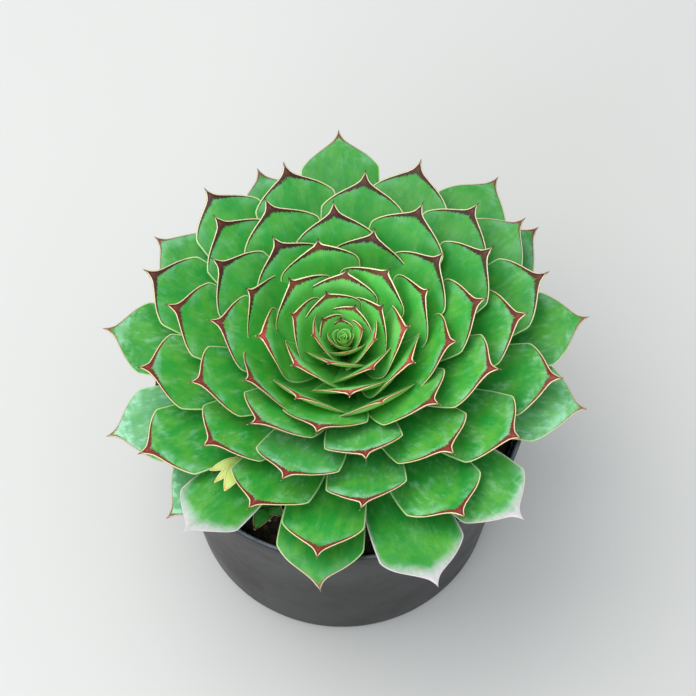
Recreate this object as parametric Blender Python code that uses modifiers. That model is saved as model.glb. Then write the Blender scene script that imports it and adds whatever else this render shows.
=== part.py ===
"""Potted houseleek: one Sempervivum rosette in a round nursery pot.

The leaves stand on a short stem along a spiral. Leaf 1 is the youngest and the highest, the last one
is the oldest and the lowest. Each leaf is bent round the axis of the rosette on its own cup-shaped
surface, and the cups of successive leaves nest inside each other, so no leaf cuts into another.
The origin is the centre of the pot's underside, +Z is up.
"""

import math

import bmesh
import bpy
from mathutils import Matrix, Vector

MM = 0.001
GAP = 0.3  # clearance between pieces that touch, mm
MERGE = 1e-6  # m
SMOOTH_BELOW = 40.0  # degrees between faces that are shaded smooth

# ---------------------------------------------------------------- pot and growing mix, mm
POT_HEIGHT = 70.0
RIM_RADIUS = 50.0
RIM_DEPTH = 7.5
RIM_STEP = 1.7  # from the rim's widest place in to the wall below it
RIM_TAPER = 0.9  # from the rim's widest place in to its lower edge
LIP_ROUNDING = 0.8
WALL = 1.2
BASE_RADIUS = 42.5
BASE_CHAMFER = 1.4
FOOT_WIDTH = 4.0
FLOOR_RAISE = 2.5
FLOOR_STEP = 1.0  # run of the short slopes between the floor's levels
CENTRE_DISC_RADIUS = 15.0
DRAIN_HOLES = 8
DRAIN_HOLE_RADIUS = 3.6
DRAIN_RING_RADIUS = 29.0
POT_STEPS = 48
MIX_DEPTH_BELOW_RIM = 6.5
MIX_MOUND = 1.8
MIX_MOUND_FLAT = 16.0  # radius of the mound's flat top
MIX_MOUND_SHOULDER = 30.0  # radius at which the mound is down to half its height
MIX_STEPS = 32

# ---------------------------------------------------------------- rosette, mm and degrees
ROSETTE_ORIGIN = Vector((1.1, 0.0, 83.0))
ROSETTE_LEAN = -3.3
FIRST_AZIMUTH = -182.0
DIVERGENCE = 137.642
HEART_LEAVES = range(1, 28)
OUTER_LEAVES = [*range(28, 81), 84]
OLDEST = 84.0

# How a leaf changes with its age: (leaf number, value) points, joined by a smooth curve.
TIP_RADIUS = ((1, 3.3), (8, 9.2), (20, 21.2), (35, 35.1), (55, 53.5), (70, 64.2), (84, 66.7))
TIP_HEIGHT = ((1, 17.0), (8, 20.8), (20, 22.9), (35, 24.1), (55, 16.1), (70, 6.1), (84, 0.5))
TIP_SLOPE = ((1, 78.0), (10, 59.0), (20, 56.0), (32, 57.0), (45, 48.0), (58, 38.0), (70, 15.0), (84, 5.0))
FULL_WIDTH = ((1, 5.2), (10, 15.0), (20, 21.2), (36, 22.4), (60, 22.4), (66, 21.2), (75, 22.5), (84, 22.5))
SHOULDER_REACH = ((1, 0.35), (45, 0.36), (66, 0.42), (84, 0.5))  # widest place to spine, over the width
TIP_REACH = 0.28  # how much of the length the tip's own slope governs
# Share of the tip's slope that the bend nearer the foot follows.
KNEE_SLOPE = ((1, 1.2), (24, 1.15), (34, 0.95), (56, 0.75), (84, 0.75))
FLATNESS = 0.6  # how flat a leaf lies across, from 0, bent right round the axis, to 1
ASIDE_START = 0.5  # share of the length in which a lopsided blade's offset grows from its foot
ASIDE_REACH = 4.0  # mm from the tip in which most of that offset is lost again
FLESH = ((1, 0.4), (10, 0.9), (28, 2.0), (45, 2.5), (84, 2.6))
LEAF_FOOT_SKIN = 0.3  # thickness of a leaf's base: this much
LEAF_FOOT_FLESH = 0.45  # and this share of its flesh
BLADE_FLESH = 0.6  # share of the flesh that swells the blade's middle
SPINE_FLESH = 0.25  # share of the flesh left at the spine's root

# Leaves that stand askew: (turn in degrees, extra reach in mm, lift of the tip in mm).
ASKEW = {
    10: (-2.1, 0.0, 0.4), 12: (0.0, 0.0, 0.2), 14: (-1.5, 0.0, -0.4), 15: (0.0, 0.0, 0.3),
    17: (0.0, 0.0, 0.1), 19: (1.0, 0.0, 0.3), 20: (-0.6, -0.6, 0.0), 23: (0.0, 0.5, 0.8),
    25: (2.2, -1.5, 0.4), 29: (4.0, 0.0, 0.1), 32: (-3.5, 0.0, -0.1), 33: (-4.5, 0.0, 0.0),
    39: (3.5, 0.5, 0.0), 40: (-4.6, 0.0, 0.0), 41: (-3.0, 0.5, 0.0), 42: (3.5, 0.0, 0.0),
    43: (4.0, 0.0, 0.0), 44: (3.5, 0.0, 0.0), 45: (-1.0, 0.8, 0.0), 47: (2.5, 0.0, 0.0),
    48: (3.0, -1.5, 0.0), 50: (2.1, -1.8, 0.0), 51: (7.0, -2.0, 0.0), 52: (-2.0, -1.0, 0.0),
    53: (1.8, -1.8, 0.5), 54: (-4.0, 0.0, 0.0), 57: (3.0, 1.0, 0.0), 58: (2.0, -3.0, 0.0),
    61: (7.0, 0.0, 0.0), 62: (-2.5, 0.0, 0.0), 64: (2.0, -3.5, 0.0), 65: (2.5, 1.0, 0.0),
    66: (1.0, -3.4, 0.0), 67: (-2.0, -1.5, 1.0), 68: (-5.5, 1.0, 0.0), 69: (-2.5, 2.0, 0.0),
    70: (-1.5, 5.0, 0.0), 73: (-2.0, -1.0, 0.0), 74: (6.0, 4.0, 0.5), 75: (-9.0, 2.5, 0.5),
    77: (8.5, -1.0, 0.0), 78: (-2.0, -1.0, -0.8), 79: (12.8, -1.5, -1.5), 80: (8.5, 0.0, -3.0),
    84: (3.5, -3.5, 0.0),
}
BROADNESS = {40: 0.9, 53: 0.92, 71: 0.86}  # leaves that grew narrower than their neighbours
# How far a lopsided leaf's blade lies to one side of its tip, in mm.
BLADE_ASIDE = {
    10: 0.6, 12: 0.5, 14: -0.6, 15: 0.6, 17: -0.8, 20: 1.2, 22: -1.4, 23: 1.4, 24: 1.2, 32: 0.2,
    35: -0.8, 37: 2.2, 40: 0.5, 45: 0.6, 53: 2.5, 58: 0.7, 79: -1.7,
}

STEM_FOOT = -33.0  # the stem's lower end below the rosette's origin
STEM_LOWEST_LEAF = -15.3
STEM_TOP_LEAF = 9.8
STEM_THICK = 8.0
STEM_THIN = 1.0
STEM_TAPER = 0.6  # power of the age by which the stem thickens downwards
STEM_CUT = 31.5  # leaf number at whose height the stem ends and the heart begins
STEM_CUT_ROUNDING = 0.3
STEM_COLLAR = 0.4  # swelling under the lowest leaf
STEM_COLLAR_DROP = 1.2
STEM_TIP_LENGTH = 6.0  # the rounded lower end
STEM_TIP_TAPER = 3.0
STEM_SEGMENTS = 6
STEM_STEPS = 24
BUD_PROFILE = [(0.0, 15.6), (0.9, 14.6), (1.6, 12.6), (1.5, 11.2)]  # the closed bud, top down
BUD_SEGMENTS = 5
BUD_STEPS = 16
HEART_LEAF_SUNK = 1.3  # how far a heart leaf's base reaches into the stem
SMALLEST_RADIUS = 0.8  # nearest the axis that a leaf's width is still bent round it
LEAF_BASE_SPREAD = 0.34  # half width of a leaf's base over the stem's radius there
SIDE_CURVE = 1.3  # how round a leaf's sides are between its widest place and its spine: 1 is straight
SPINE_LENGTH = 2.3
SPINE_WIDTH = 0.15  # at the spine's root, over the leaf's full width
SPINE_LARGEST_SHARE = 0.12  # of a small leaf's length
SPINE_HOLLOW = 1.4  # power by which the spine's sides run in to its point

# Young offsets: where each grows from, and the tip and full width of each of its leaflets.
GREEN_OFFSET_ROOT = Vector((-19.0, -34.0, 65.4))  # on the growing mix, in the pot's frame
GREEN_OFFSET_LEAFLETS = (
    (Vector((-22.5, -43.0, 73.0)), 5.6),
    (Vector((-21.5, -38.0, 75.0)), 4.8),
    (Vector((-15.0, -39.0, 72.0)), 4.4),
    (Vector((-25.5, -33.5, 71.0)), 4.4),
    (Vector((-16.5, -31.0, 71.5)), 4.0),
)
PALE_OFFSET_ROOT = Vector((-26.4, -30.0, 3.0))  # on the leaf below it, in the rosette's frame
PALE_OFFSET_LEAFLETS = (
    (Vector((-34.4, -32.2, 5.3)), 3.4),
    (Vector((-30.4, -38.4, 6.2)), 5.0),
    (Vector((-33.2, -35.6, 5.3)), 3.0),
)
PALE_OFFSET_RUNNER = Vector((-21.0, -25.0, 1.0))  # where its runner disappears between the leaves
RUNNER_RADIUS = 0.7
RUNNER_TAPER = 0.1
RUNNER_START = 0.02  # of the way from the offset's core to the runner's far end
LEAFLET_THICKNESS = 0.9
LEAFLET_BOW = 0.12  # rise of a leaflet's middle over its length
LEAFLET_BASE = 0.12  # share of the width curve that a leaflet's base leaves out
LEAFLET_ROWS = (0.0, 0.35, 0.7, 1.0)
OFFSET_CORE_RADIUS = 1.15


def along(track, x):
    """The value at x of the smooth monotone curve through the points of a track."""
    xs, ys = zip(*track)
    x = min(max(x, xs[0]), xs[-1])
    slopes = [(ys[i + 1] - ys[i]) / (xs[i + 1] - xs[i]) for i in range(len(xs) - 1)]
    tangents = [slopes[0]]
    for before, after in zip(slopes, slopes[1:]):
        tangents.append(2 * before * after / (before + after) if before * after > 0 else 0.0)
    tangents.append(slopes[-1])
    i = max(k for k in range(len(slopes)) if xs[k] <= x)
    width = xs[i + 1] - xs[i]
    t = (x - xs[i]) / width
    return (
        ys[i] * (1 + 2 * t) * (1 - t) ** 2
        + tangents[i] * width * t * (1 - t) ** 2
        + ys[i + 1] * t * t * (3 - 2 * t)
        + tangents[i + 1] * width * t * t * (t - 1)
    )


def leaf_foot(number):
    """(radius, height) of the middle of a leaf's base, in the rosette's frame."""
    age = number / OLDEST
    return (
        STEM_THIN + (STEM_THICK - STEM_THIN) * age**STEM_TAPER,
        STEM_LOWEST_LEAF + (STEM_TOP_LEAF - STEM_LOWEST_LEAF) * (1 - age),
    )


def direction(slope):
    return Vector((math.cos(slope), math.sin(slope)))


class Leaf:
    """One leaf's shape: a curved midline in the plane through the axis, a width and a thickness."""

    def __init__(self, number, sunk=0.0):
        turn, reach, lift = ASKEW.get(number, (0.0, 0.0, 0.0))
        self.azimuth = math.radians(FIRST_AZIMUTH + DIVERGENCE * number + turn)
        self.foot_radius, foot_height = leaf_foot(number)
        self.foot = Vector((self.foot_radius - sunk, foot_height))
        self.tip = Vector((along(TIP_RADIUS, number) + reach, along(TIP_HEIGHT, number) + lift))
        chord = self.tip - self.foot
        slope = math.radians(along(TIP_SLOPE, number))
        sag = slope * along(KNEE_SLOPE, number)
        bend = math.atan2(chord.y, chord.x) - sag
        knee = self.tip - direction(sag) * chord.length / (2 * math.cos(bend))
        self.base_handle = self.foot + (knee - self.foot) * 2 / 3
        self.tip_handle = self.tip - direction(slope) * chord.length * TIP_REACH
        self.length = chord.length
        self.half_width = along(FULL_WIDTH, number) / 2 * BROADNESS.get(number, 1.0)
        self.flesh = along(FLESH, number)
        self.foot_thickness = LEAF_FOOT_SKIN + LEAF_FOOT_FLESH * self.flesh
        self.spine_root = 1 - min(SPINE_LENGTH / self.length, SPINE_LARGEST_SHARE)
        shoulder = along(SHOULDER_REACH, number) * 2 * self.half_width / self.length
        self.widest = max(0.5, self.spine_root - shoulder)
        self.aside = BLADE_ASIDE.get(number, 0.0)

    def midline(self, s):
        """(radius, height) at share s of the length, and the unit normal that points up and inwards."""
        a, b, c, d = self.foot, self.base_handle, self.tip_handle, self.tip
        t = 1 - s
        point = a * t**3 + b * 3 * t * t * s + c * 3 * t * s * s + d * s**3
        way = ((b - a) * t * t + (c - b) * 2 * t * s + (d - c) * s * s).normalized()
        return point, Vector((-way.y, way.x))

    def half_width_at(self, s):
        foot = LEAF_BASE_SPREAD * self.foot_radius
        if s <= self.widest:
            return foot + (self.half_width - foot) * math.sin(math.pi / 2 * s / self.widest) ** 1.15
        if s <= self.spine_root:
            x = (s - self.widest) / (self.spine_root - self.widest)
            return self.half_width * (SPINE_WIDTH + (1 - SPINE_WIDTH) * (1 - x**SIDE_CURVE))
        return self.half_width * SPINE_WIDTH * ((1 - s) / (1 - self.spine_root)) ** SPINE_HOLLOW

    def thickness_at(self, s):
        if s >= self.spine_root:
            return SPINE_FLESH * self.flesh * (1 - s) / (1 - self.spine_root)
        swell = math.sin(math.pi * min(s / self.spine_root, 1.0) ** 1.3)
        thickness = self.foot_thickness * (1 - s) + SPINE_FLESH * self.flesh * s
        return thickness + BLADE_FLESH * self.flesh * swell

    def point(self, s, u, side):
        """A point of the surface: u from -1 to 1 across, side +1 above and -1 below."""
        middle, normal = self.midline(s)
        fullness = max(0.0, 1 - u * u) ** 0.8
        middle = middle + normal * (side * fullness * self.thickness_at(s) / 2)
        from_tip = 1 - math.exp((s - 1) * self.length / ASIDE_REACH)
        from_foot = math.sin(math.pi / 2 * min(1.0, s / ASIDE_START))
        across = u * self.half_width_at(s) + self.aside * from_tip * from_foot
        turn = across / max(middle.x, SMALLEST_RADIUS)
        outward = middle.x * (FLATNESS + (1 - FLATNESS) * math.cos(turn))
        sideways = FLATNESS * across + (1 - FLATNESS) * middle.x * math.sin(turn)
        point = Matrix.Rotation(self.azimuth, 2) @ Vector((outward, sideways))
        return Vector((*point, middle.y))


# ---------------------------------------------------------------- helpers
def clear_scene():
    for obj in list(bpy.data.objects):
        bpy.data.objects.remove(obj, do_unlink=True)


def new_collection(name, hidden=False):
    collection = bpy.data.collections.new(name)
    collection.hide_render = hidden
    bpy.context.scene.collection.children.link(collection)
    return collection


def principled(name, colour, roughness, metallic=0.0):
    material = bpy.data.materials.new(name)
    material.use_nodes = True
    shader = material.node_tree.nodes["Principled BSDF"]
    shader.inputs["Base Color"].default_value = (*colour, 1.0)
    shader.inputs["Roughness"].default_value = roughness
    shader.inputs["Metallic"].default_value = metallic
    material.diffuse_color = (*colour, 1.0)
    return material


def new_object(name, bm, collection, material=None, parent=None):
    mesh = bpy.data.meshes.new(name)
    bm.to_mesh(mesh)
    bm.free()
    obj = bpy.data.objects.new(name, mesh)
    collection.objects.link(obj)
    obj.parent = parent
    if material:
        mesh.materials.append(material)
        mesh.shade_smooth()
        mesh.set_sharp_from_angle(angle=math.radians(SMOOTH_BELOW))
    return obj


def add_boolean(obj, operation, other):
    """Cuts the other object from this one, or joins it on, and marks the other as a helper."""
    other.hide_render = True
    other.display_type = "WIRE"
    boolean = obj.modifiers.new(operation.lower(), "BOOLEAN")
    boolean.operation = operation
    boolean.solver = "EXACT"
    boolean.object = other


def turned(name, profile, steps, collection, material=None, parent=None):
    """A solid of revolution. The closed profile, (radius, height) in mm, runs down its outer side."""
    bm = bmesh.new()
    verts = [bm.verts.new((r * MM, 0.0, z * MM)) for r, z in profile]
    for a, b in zip(verts, verts[1:] + verts[:1]):
        if a.co.x > 0.0 or b.co.x > 0.0:
            bm.edges.new((a, b))
    obj = new_object(name, bm, collection, material, parent)
    screw = obj.modifiers.new("turn", "SCREW")
    screw.axis = "Z"
    screw.steps = steps
    screw.render_steps = steps
    screw.use_merge_vertices = True
    screw.merge_threshold = MERGE
    return obj


def blade(bm, surface, rows, columns):
    """Adds a closed leaf-shaped solid with sharp sides.

    surface(s, u, side) gives its points in mm, rows the shares of the length, the last one the tip.
    The sheet starts flat, two units square, and is doubled before its points are put in place.
    """
    sheet = bmesh.ops.create_grid(bm, x_segments=columns, y_segments=len(rows) - 1, size=1.0)
    upper = sheet["verts"]
    faces = list({face for vert in upper for face in vert.link_faces})
    made = bmesh.ops.extrude_face_region(bm, geom=faces)["geom"]
    lower = [item for item in made if isinstance(item, bmesh.types.BMVert)]
    for verts, side in ((upper, 1), (lower, -1)):
        for vert in verts:
            row = round((vert.co.y + 1) / 2 * (len(rows) - 1))
            vert.co = surface(rows[row], round(vert.co.x, 6), side) * MM
    bmesh.ops.remove_doubles(bm, verts=upper + lower, dist=MERGE)
    bmesh.ops.recalc_face_normals(bm, faces=bm.faces)


# ---------------------------------------------------------------- pieces
def wall_radius(height):
    """Outer radius of the pot's tapered wall."""
    rim_bottom = POT_HEIGHT - RIM_DEPTH
    return BASE_RADIUS + (RIM_RADIUS - RIM_STEP - BASE_RADIUS) * height / rim_bottom


def pot_profile():
    """The pot's section: down the outer side, in across the underside and up the inside."""
    rim_bottom = POT_HEIGHT - RIM_DEPTH
    rim_foot = RIM_RADIUS - RIM_TAPER
    foot_inner = BASE_RADIUS - FOOT_WIDTH
    floor_top = FLOOR_RAISE + WALL
    middle = POT_HEIGHT / 2
    return [
        (RIM_RADIUS - LIP_ROUNDING, POT_HEIGHT),
        (RIM_RADIUS, POT_HEIGHT - LIP_ROUNDING),
        (rim_foot + 0.4, rim_bottom + 0.6),
        (rim_foot, rim_bottom),
        (wall_radius(rim_bottom), rim_bottom),
        (wall_radius(middle), middle),
        (wall_radius(BASE_CHAMFER), BASE_CHAMFER),
        (BASE_RADIUS - BASE_CHAMFER / 3, BASE_CHAMFER / 4),
        (BASE_RADIUS - BASE_CHAMFER, 0.0),
        (foot_inner, 0.0),
        (foot_inner - FLOOR_STEP, FLOOR_RAISE),
        (CENTRE_DISC_RADIUS + FLOOR_STEP, FLOOR_RAISE),
        (CENTRE_DISC_RADIUS, 0.0),
        (0.0, 0.0),
        (0.0, WALL),
        (CENTRE_DISC_RADIUS - FLOOR_STEP / 2, WALL),
        (CENTRE_DISC_RADIUS + FLOOR_STEP / 2, floor_top),
        (wall_radius(floor_top) - WALL - FLOOR_STEP, floor_top),
        (wall_radius(floor_top + FLOOR_STEP) - WALL, floor_top + FLOOR_STEP),
        (wall_radius(middle) - WALL, middle),
        (wall_radius(rim_bottom) - WALL, rim_bottom),
        (rim_foot - WALL, rim_bottom + 0.8),
        (RIM_RADIUS - WALL, POT_HEIGHT - LIP_ROUNDING),
    ]


def build_pot(collection, cutters):
    material = principled("black_plastic", (0.02, 0.022, 0.025), 0.45)
    pot = turned("pot", pot_profile(), POT_STEPS, collection, material)
    bm = bmesh.new()
    for index in range(DRAIN_HOLES):
        angle = math.tau * (index + 0.5) / DRAIN_HOLES
        centre = Vector((math.cos(angle), math.sin(angle), 0.0)) * DRAIN_RING_RADIUS
        centre.z = FLOOR_RAISE
        bmesh.ops.create_cone(
            bm,
            cap_ends=True,
            segments=12,
            radius1=DRAIN_HOLE_RADIUS * MM,
            radius2=DRAIN_HOLE_RADIUS * MM,
            depth=4 * WALL * MM,
            matrix=Matrix.Translation(centre * MM),
        )
    add_boolean(pot, "DIFFERENCE", new_object("drain_holes", bm, cutters))


def stem_edge(number):
    """(radius, height) of the stem's side where a leaf's base comes nearest to it."""
    leaf = Leaf(number)
    point, normal = leaf.midline(0.0)
    near = point + normal * (leaf.foot_thickness / 2)
    return near.x - GAP, near.y


def stem_edges(youngest, oldest, segments):
    """Points down the stem's side from the height of one leaf's base to that of an older one."""
    numbers = (youngest + (oldest - youngest) * i / segments for i in range(segments + 1))
    return [stem_edge(number) for number in numbers]


def build_stem(collection, rosette):
    material = principled("brown_stem", (0.20, 0.13, 0.07), 0.8)
    sides = stem_edges(STEM_CUT, OLDEST, STEM_SEGMENTS)
    top_radius, top_height = sides[0]
    low_radius = sides[-1][0]
    profile = [
        (0.0, top_height),
        (top_radius - STEM_CUT_ROUNDING, top_height),
        *sides[1:],
        (low_radius + STEM_COLLAR, STEM_LOWEST_LEAF - STEM_COLLAR_DROP),
        (low_radius, STEM_FOOT + STEM_TIP_LENGTH),
        (low_radius - STEM_TIP_TAPER, STEM_FOOT),
        (0.0, STEM_FOOT),
    ]
    turned("stem", profile, STEM_STEPS, collection, material, rosette)


def build_growing_mix(collection, cutters, rosette):
    """The mix fills the pot up to the rim's foot, mounded round the stem, with a socket for the stem."""
    top = POT_HEIGHT - MIX_DEPTH_BELOW_RIM
    rim_bottom = POT_HEIGHT - RIM_DEPTH
    bottom = FLOOR_RAISE + WALL + GAP
    clear = WALL + GAP
    profile = [
        (0.0, top + MIX_MOUND),
        (MIX_MOUND_FLAT, top + MIX_MOUND),
        (MIX_MOUND_SHOULDER, top + MIX_MOUND / 2),
        (wall_radius(rim_bottom) - clear - 1.5, top),
        (wall_radius(rim_bottom - 1.5) - clear, rim_bottom - 1.5),
        (wall_radius(bottom + 2.5) - clear, bottom + 2.5),
        (wall_radius(bottom) - clear - 2.0, bottom),
        (0.0, bottom),
    ]
    material = principled("growing_mix", (0.03, 0.02, 0.015), 0.95)
    mix = turned("growing_mix", profile, MIX_STEPS, collection, material)
    radius = stem_edge(OLDEST)[0] + STEM_COLLAR + GAP
    socket_profile = [
        (0.0, 0.0),
        (radius, 0.0),
        (radius, STEM_FOOT + STEM_TIP_LENGTH - GAP),
        (radius - STEM_TIP_TAPER, STEM_FOOT - GAP),
        (0.0, STEM_FOOT - GAP),
    ]
    socket = turned("stem_socket", socket_profile, STEM_STEPS, cutters, None, rosette)
    add_boolean(mix, "DIFFERENCE", socket)


def leaf_rows(leaf, claw_rows):
    """Shares of the length at which a leaf has a row of points, from the stem to the tip."""
    blade_length = leaf.spine_root - leaf.widest
    claw = [leaf.widest * i / claw_rows for i in range(claw_rows)]
    shares = (0.0, 0.42, 0.72, 1.0)
    return claw + [leaf.widest + blade_length * x for x in shares] + [1.0]


def build_outer_leaves(collection, rosette):
    for number in OUTER_LEAVES:
        leaf = Leaf(number)
        bm = bmesh.new()
        blade(bm, leaf.point, leaf_rows(leaf, 3), 4)
        age = number / OLDEST
        colour = (0.05 - 0.02 * age, 0.30 - 0.05 * age, 0.05 + 0.07 * age)
        material = principled(f"leaf_green_{number}", colour, 0.45)
        new_object(f"leaf_{number}", bm, collection, material, rosette)


def build_heart(collection, cutters, rosette):
    """The growing tip of the stem with the closed bud and the youngest leaves, grown together."""
    material = principled("heart_green", (0.12, 0.34, 0.05), 0.45)
    sides = stem_edges(STEM_CUT / BUD_SEGMENTS, STEM_CUT, BUD_SEGMENTS - 1)
    low_radius, low_height = sides[-1]
    profile = [
        *BUD_PROFILE,
        *sides[:-1],
        (low_radius - STEM_CUT_ROUNDING, low_height + GAP),
        (0.0, low_height + GAP),
    ]
    heart = turned("heart", profile, BUD_STEPS, collection, material, rosette)
    bm = bmesh.new()
    for number in HEART_LEAVES:
        leaf = Leaf(number, HEART_LEAF_SUNK)
        blade(bm, leaf.point, leaf_rows(leaf, 2), 4)
    add_boolean(heart, "UNION", new_object("heart_leaves", bm, cutters, None, rosette))


def leaflet_surface(root, tip, width):
    """The surface function of one small pointed leaf that arches from root to tip."""
    start = root - (tip - root).normalized() * OFFSET_CORE_RADIUS / 3
    way = tip - start
    across = Vector((-way.y, way.x, 0.0)).normalized()
    above = way.cross(across).normalized()
    above = above if above.z > 0 else -above

    def surface(s, u, side):
        if s == 1.0:
            return Vector(tip)
        share = LEAFLET_BASE + (1 - LEAFLET_BASE) * s
        half_width = width / 2 * math.sin(math.pi * share**0.8) ** 0.7
        swell = LEAFLET_THICKNESS / 2 * (1 - u * u) * math.sin(math.pi * (0.3 + 0.7 * s))
        bow = LEAFLET_BOW * way.length * math.sin(math.pi * s)
        return start + way * s + across * (u * half_width) + above * (bow + side * swell)

    return surface


def build_offset(name, root, leaflets, colour, collection, cutters, parent=None):
    """A young plantlet: a small core with its leaflets grown on to it."""
    bm = bmesh.new()
    place = Matrix.Translation(root * MM)
    bmesh.ops.create_icosphere(bm, subdivisions=2, radius=OFFSET_CORE_RADIUS * MM, matrix=place)
    core = new_object(name, bm, collection, principled(name, colour, 0.5), parent)
    for index, (tip, width) in enumerate(leaflets):
        bm = bmesh.new()
        blade(bm, leaflet_surface(root, tip, width), LEAFLET_ROWS, 2)
        leaflet = new_object(f"{name}_leaflet_{index}", bm, cutters, None, parent)
        add_boolean(core, "UNION", leaflet)
    return core


def add_runner(offset, root, end, cutters):
    """The thin runner by which an offset grew from the stem, joined on to it."""
    way = end - root
    middle = root + way * (0.5 - RUNNER_START)
    turn = way.to_track_quat("Z", "Y").to_matrix().to_4x4()
    bm = bmesh.new()
    bmesh.ops.create_cone(
        bm,
        cap_ends=True,
        segments=8,
        radius1=RUNNER_RADIUS * MM,
        radius2=(RUNNER_RADIUS - RUNNER_TAPER) * MM,
        depth=way.length * MM,
        matrix=Matrix.Translation(middle * MM) @ turn,
    )
    add_boolean(offset, "UNION", new_object("runner", bm, cutters, None, offset.parent))


def main():
    clear_scene()
    parts = new_collection("potted_houseleek")
    cutters = new_collection("cutters", hidden=True)
    rosette = bpy.data.objects.new("rosette_axis", None)
    parts.objects.link(rosette)
    rosette.location = ROSETTE_ORIGIN * MM
    rosette.rotation_euler = (0.0, math.radians(ROSETTE_LEAN), 0.0)
    build_pot(parts, cutters)
    build_growing_mix(parts, cutters, rosette)
    build_stem(parts, rosette)
    build_heart(parts, cutters, rosette)
    build_outer_leaves(parts, rosette)
    green = (0.05, 0.30, 0.09)
    pale = (0.55, 0.62, 0.20)
    build_offset("offset_green", GREEN_OFFSET_ROOT, GREEN_OFFSET_LEAFLETS, green, parts, cutters)
    offset = build_offset(
        "offset_pale", PALE_OFFSET_ROOT, PALE_OFFSET_LEAFLETS, pale, parts, cutters, rosette
    )
    add_runner(offset, PALE_OFFSET_ROOT, PALE_OFFSET_RUNNER, cutters)


main()
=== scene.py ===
"""The looks of the potted houseleek.

The rosette's leaves, the offsets, the stem, the growing mix and the pot are built here as finished
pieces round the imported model, each in the place of its CAD node. An outer leaf takes its turn, reach
and width from its own node. Lengths are in millimetres until a mesh is stored, and colours are
written as screen values from 0 to 255. Leaf shaders read millimetres, and the others metres.
"""

import sys

import logging
import math
from dataclasses import dataclass
from enum import Enum

import bmesh
import bpy
import numpy as np
from mathutils import Euler, Matrix, Vector, noise


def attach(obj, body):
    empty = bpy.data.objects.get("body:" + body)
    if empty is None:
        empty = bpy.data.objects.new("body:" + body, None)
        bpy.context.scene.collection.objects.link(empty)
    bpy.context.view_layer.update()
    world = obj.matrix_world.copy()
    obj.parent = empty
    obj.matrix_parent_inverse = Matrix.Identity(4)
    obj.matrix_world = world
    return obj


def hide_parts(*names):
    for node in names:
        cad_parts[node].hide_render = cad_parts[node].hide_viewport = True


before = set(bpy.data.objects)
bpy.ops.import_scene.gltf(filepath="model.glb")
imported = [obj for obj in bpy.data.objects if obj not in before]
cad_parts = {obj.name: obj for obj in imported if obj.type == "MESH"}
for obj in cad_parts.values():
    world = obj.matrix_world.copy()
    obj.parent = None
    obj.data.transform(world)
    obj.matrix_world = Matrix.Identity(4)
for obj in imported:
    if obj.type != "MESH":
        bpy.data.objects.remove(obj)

LOG = logging.getLogger("houseleek")
MM = 0.001
IN_METRES = Matrix.Scale(MM, 4)
TOUCHING = 1e-4  # mm
Screen = tuple[float, float, float]
Socket = bpy.types.NodeSocket


class Slot(Enum):
    """The record's material slots."""

    LEAF = "leaf"
    OLD_LEAF = "old_leaf"
    HEART_LEAF = "heart_leaf"
    OFFSET_LEAF = "offset_leaf"
    PALE_LEAF = "pale_leaf"
    STEM = "stem"
    GROWING_MIX = "growing_mix"
    POT_PLASTIC = "pot_plastic"


def linear(colour: Screen) -> tuple[float, float, float, float]:
    """Turns a screen colour into the linear one that a shader takes.

    Args:
        colour: Red, green and blue from 0 to 255.

    Returns:
        Linear red, green and blue with an alpha of 1.
    """
    shares = (c / 255 for c in colour)
    r, g, b = (c / 12.92 if c <= 0.04045 else ((c + 0.055) / 1.055) ** 2.4 for c in shares)
    return r, g, b, 1.0


def share(value: float) -> float:
    """A value held between 0 and 1."""
    return min(max(value, 0.0), 1.0)


# ---------------------------------------------------------------- node graphs
class Value:
    """A shader value that sums and products are written with. Each operator adds a Math node."""

    def __init__(self, graph: "Graph", socket: Socket) -> None:
        """Keeps the value's graph and the output that it comes from."""
        self.graph = graph
        self.socket = socket

    def __add__(self, other: object) -> "Value":
        """The sum."""
        return self.maths("ADD", other)

    def __sub__(self, other: object) -> "Value":
        """The difference."""
        return self.maths("SUBTRACT", other)

    def __rsub__(self, other: float) -> "Value":
        """A number less this value."""
        return self.maths("MULTIPLY_ADD", -1.0, other)

    def __mul__(self, other: object) -> "Value":
        """The product."""
        return self.maths("MULTIPLY", other)

    def maths(self, operation: str, *others: object, clamp: bool = False) -> "Value":
        """The result of a Math node on this value and the others."""
        inputs = dict(enumerate((self, *others)))
        return self.graph.value("ShaderNodeMath", inputs, operation=operation, use_clamp=clamp)

    def step(self, low: object, high: object) -> "Value":
        """A smooth step that rises from 0 at low to 1 at high."""
        inputs = {"Value": self, "From Min": low, "From Max": high}
        return self.graph.value("ShaderNodeMapRange", inputs, interpolation_type="SMOOTHSTEP")

    def fall(self, low: object, high: object) -> "Value":
        """A smooth step that falls from 1 at low to 0 at high."""
        return 1.0 - self.step(low, high)


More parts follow.
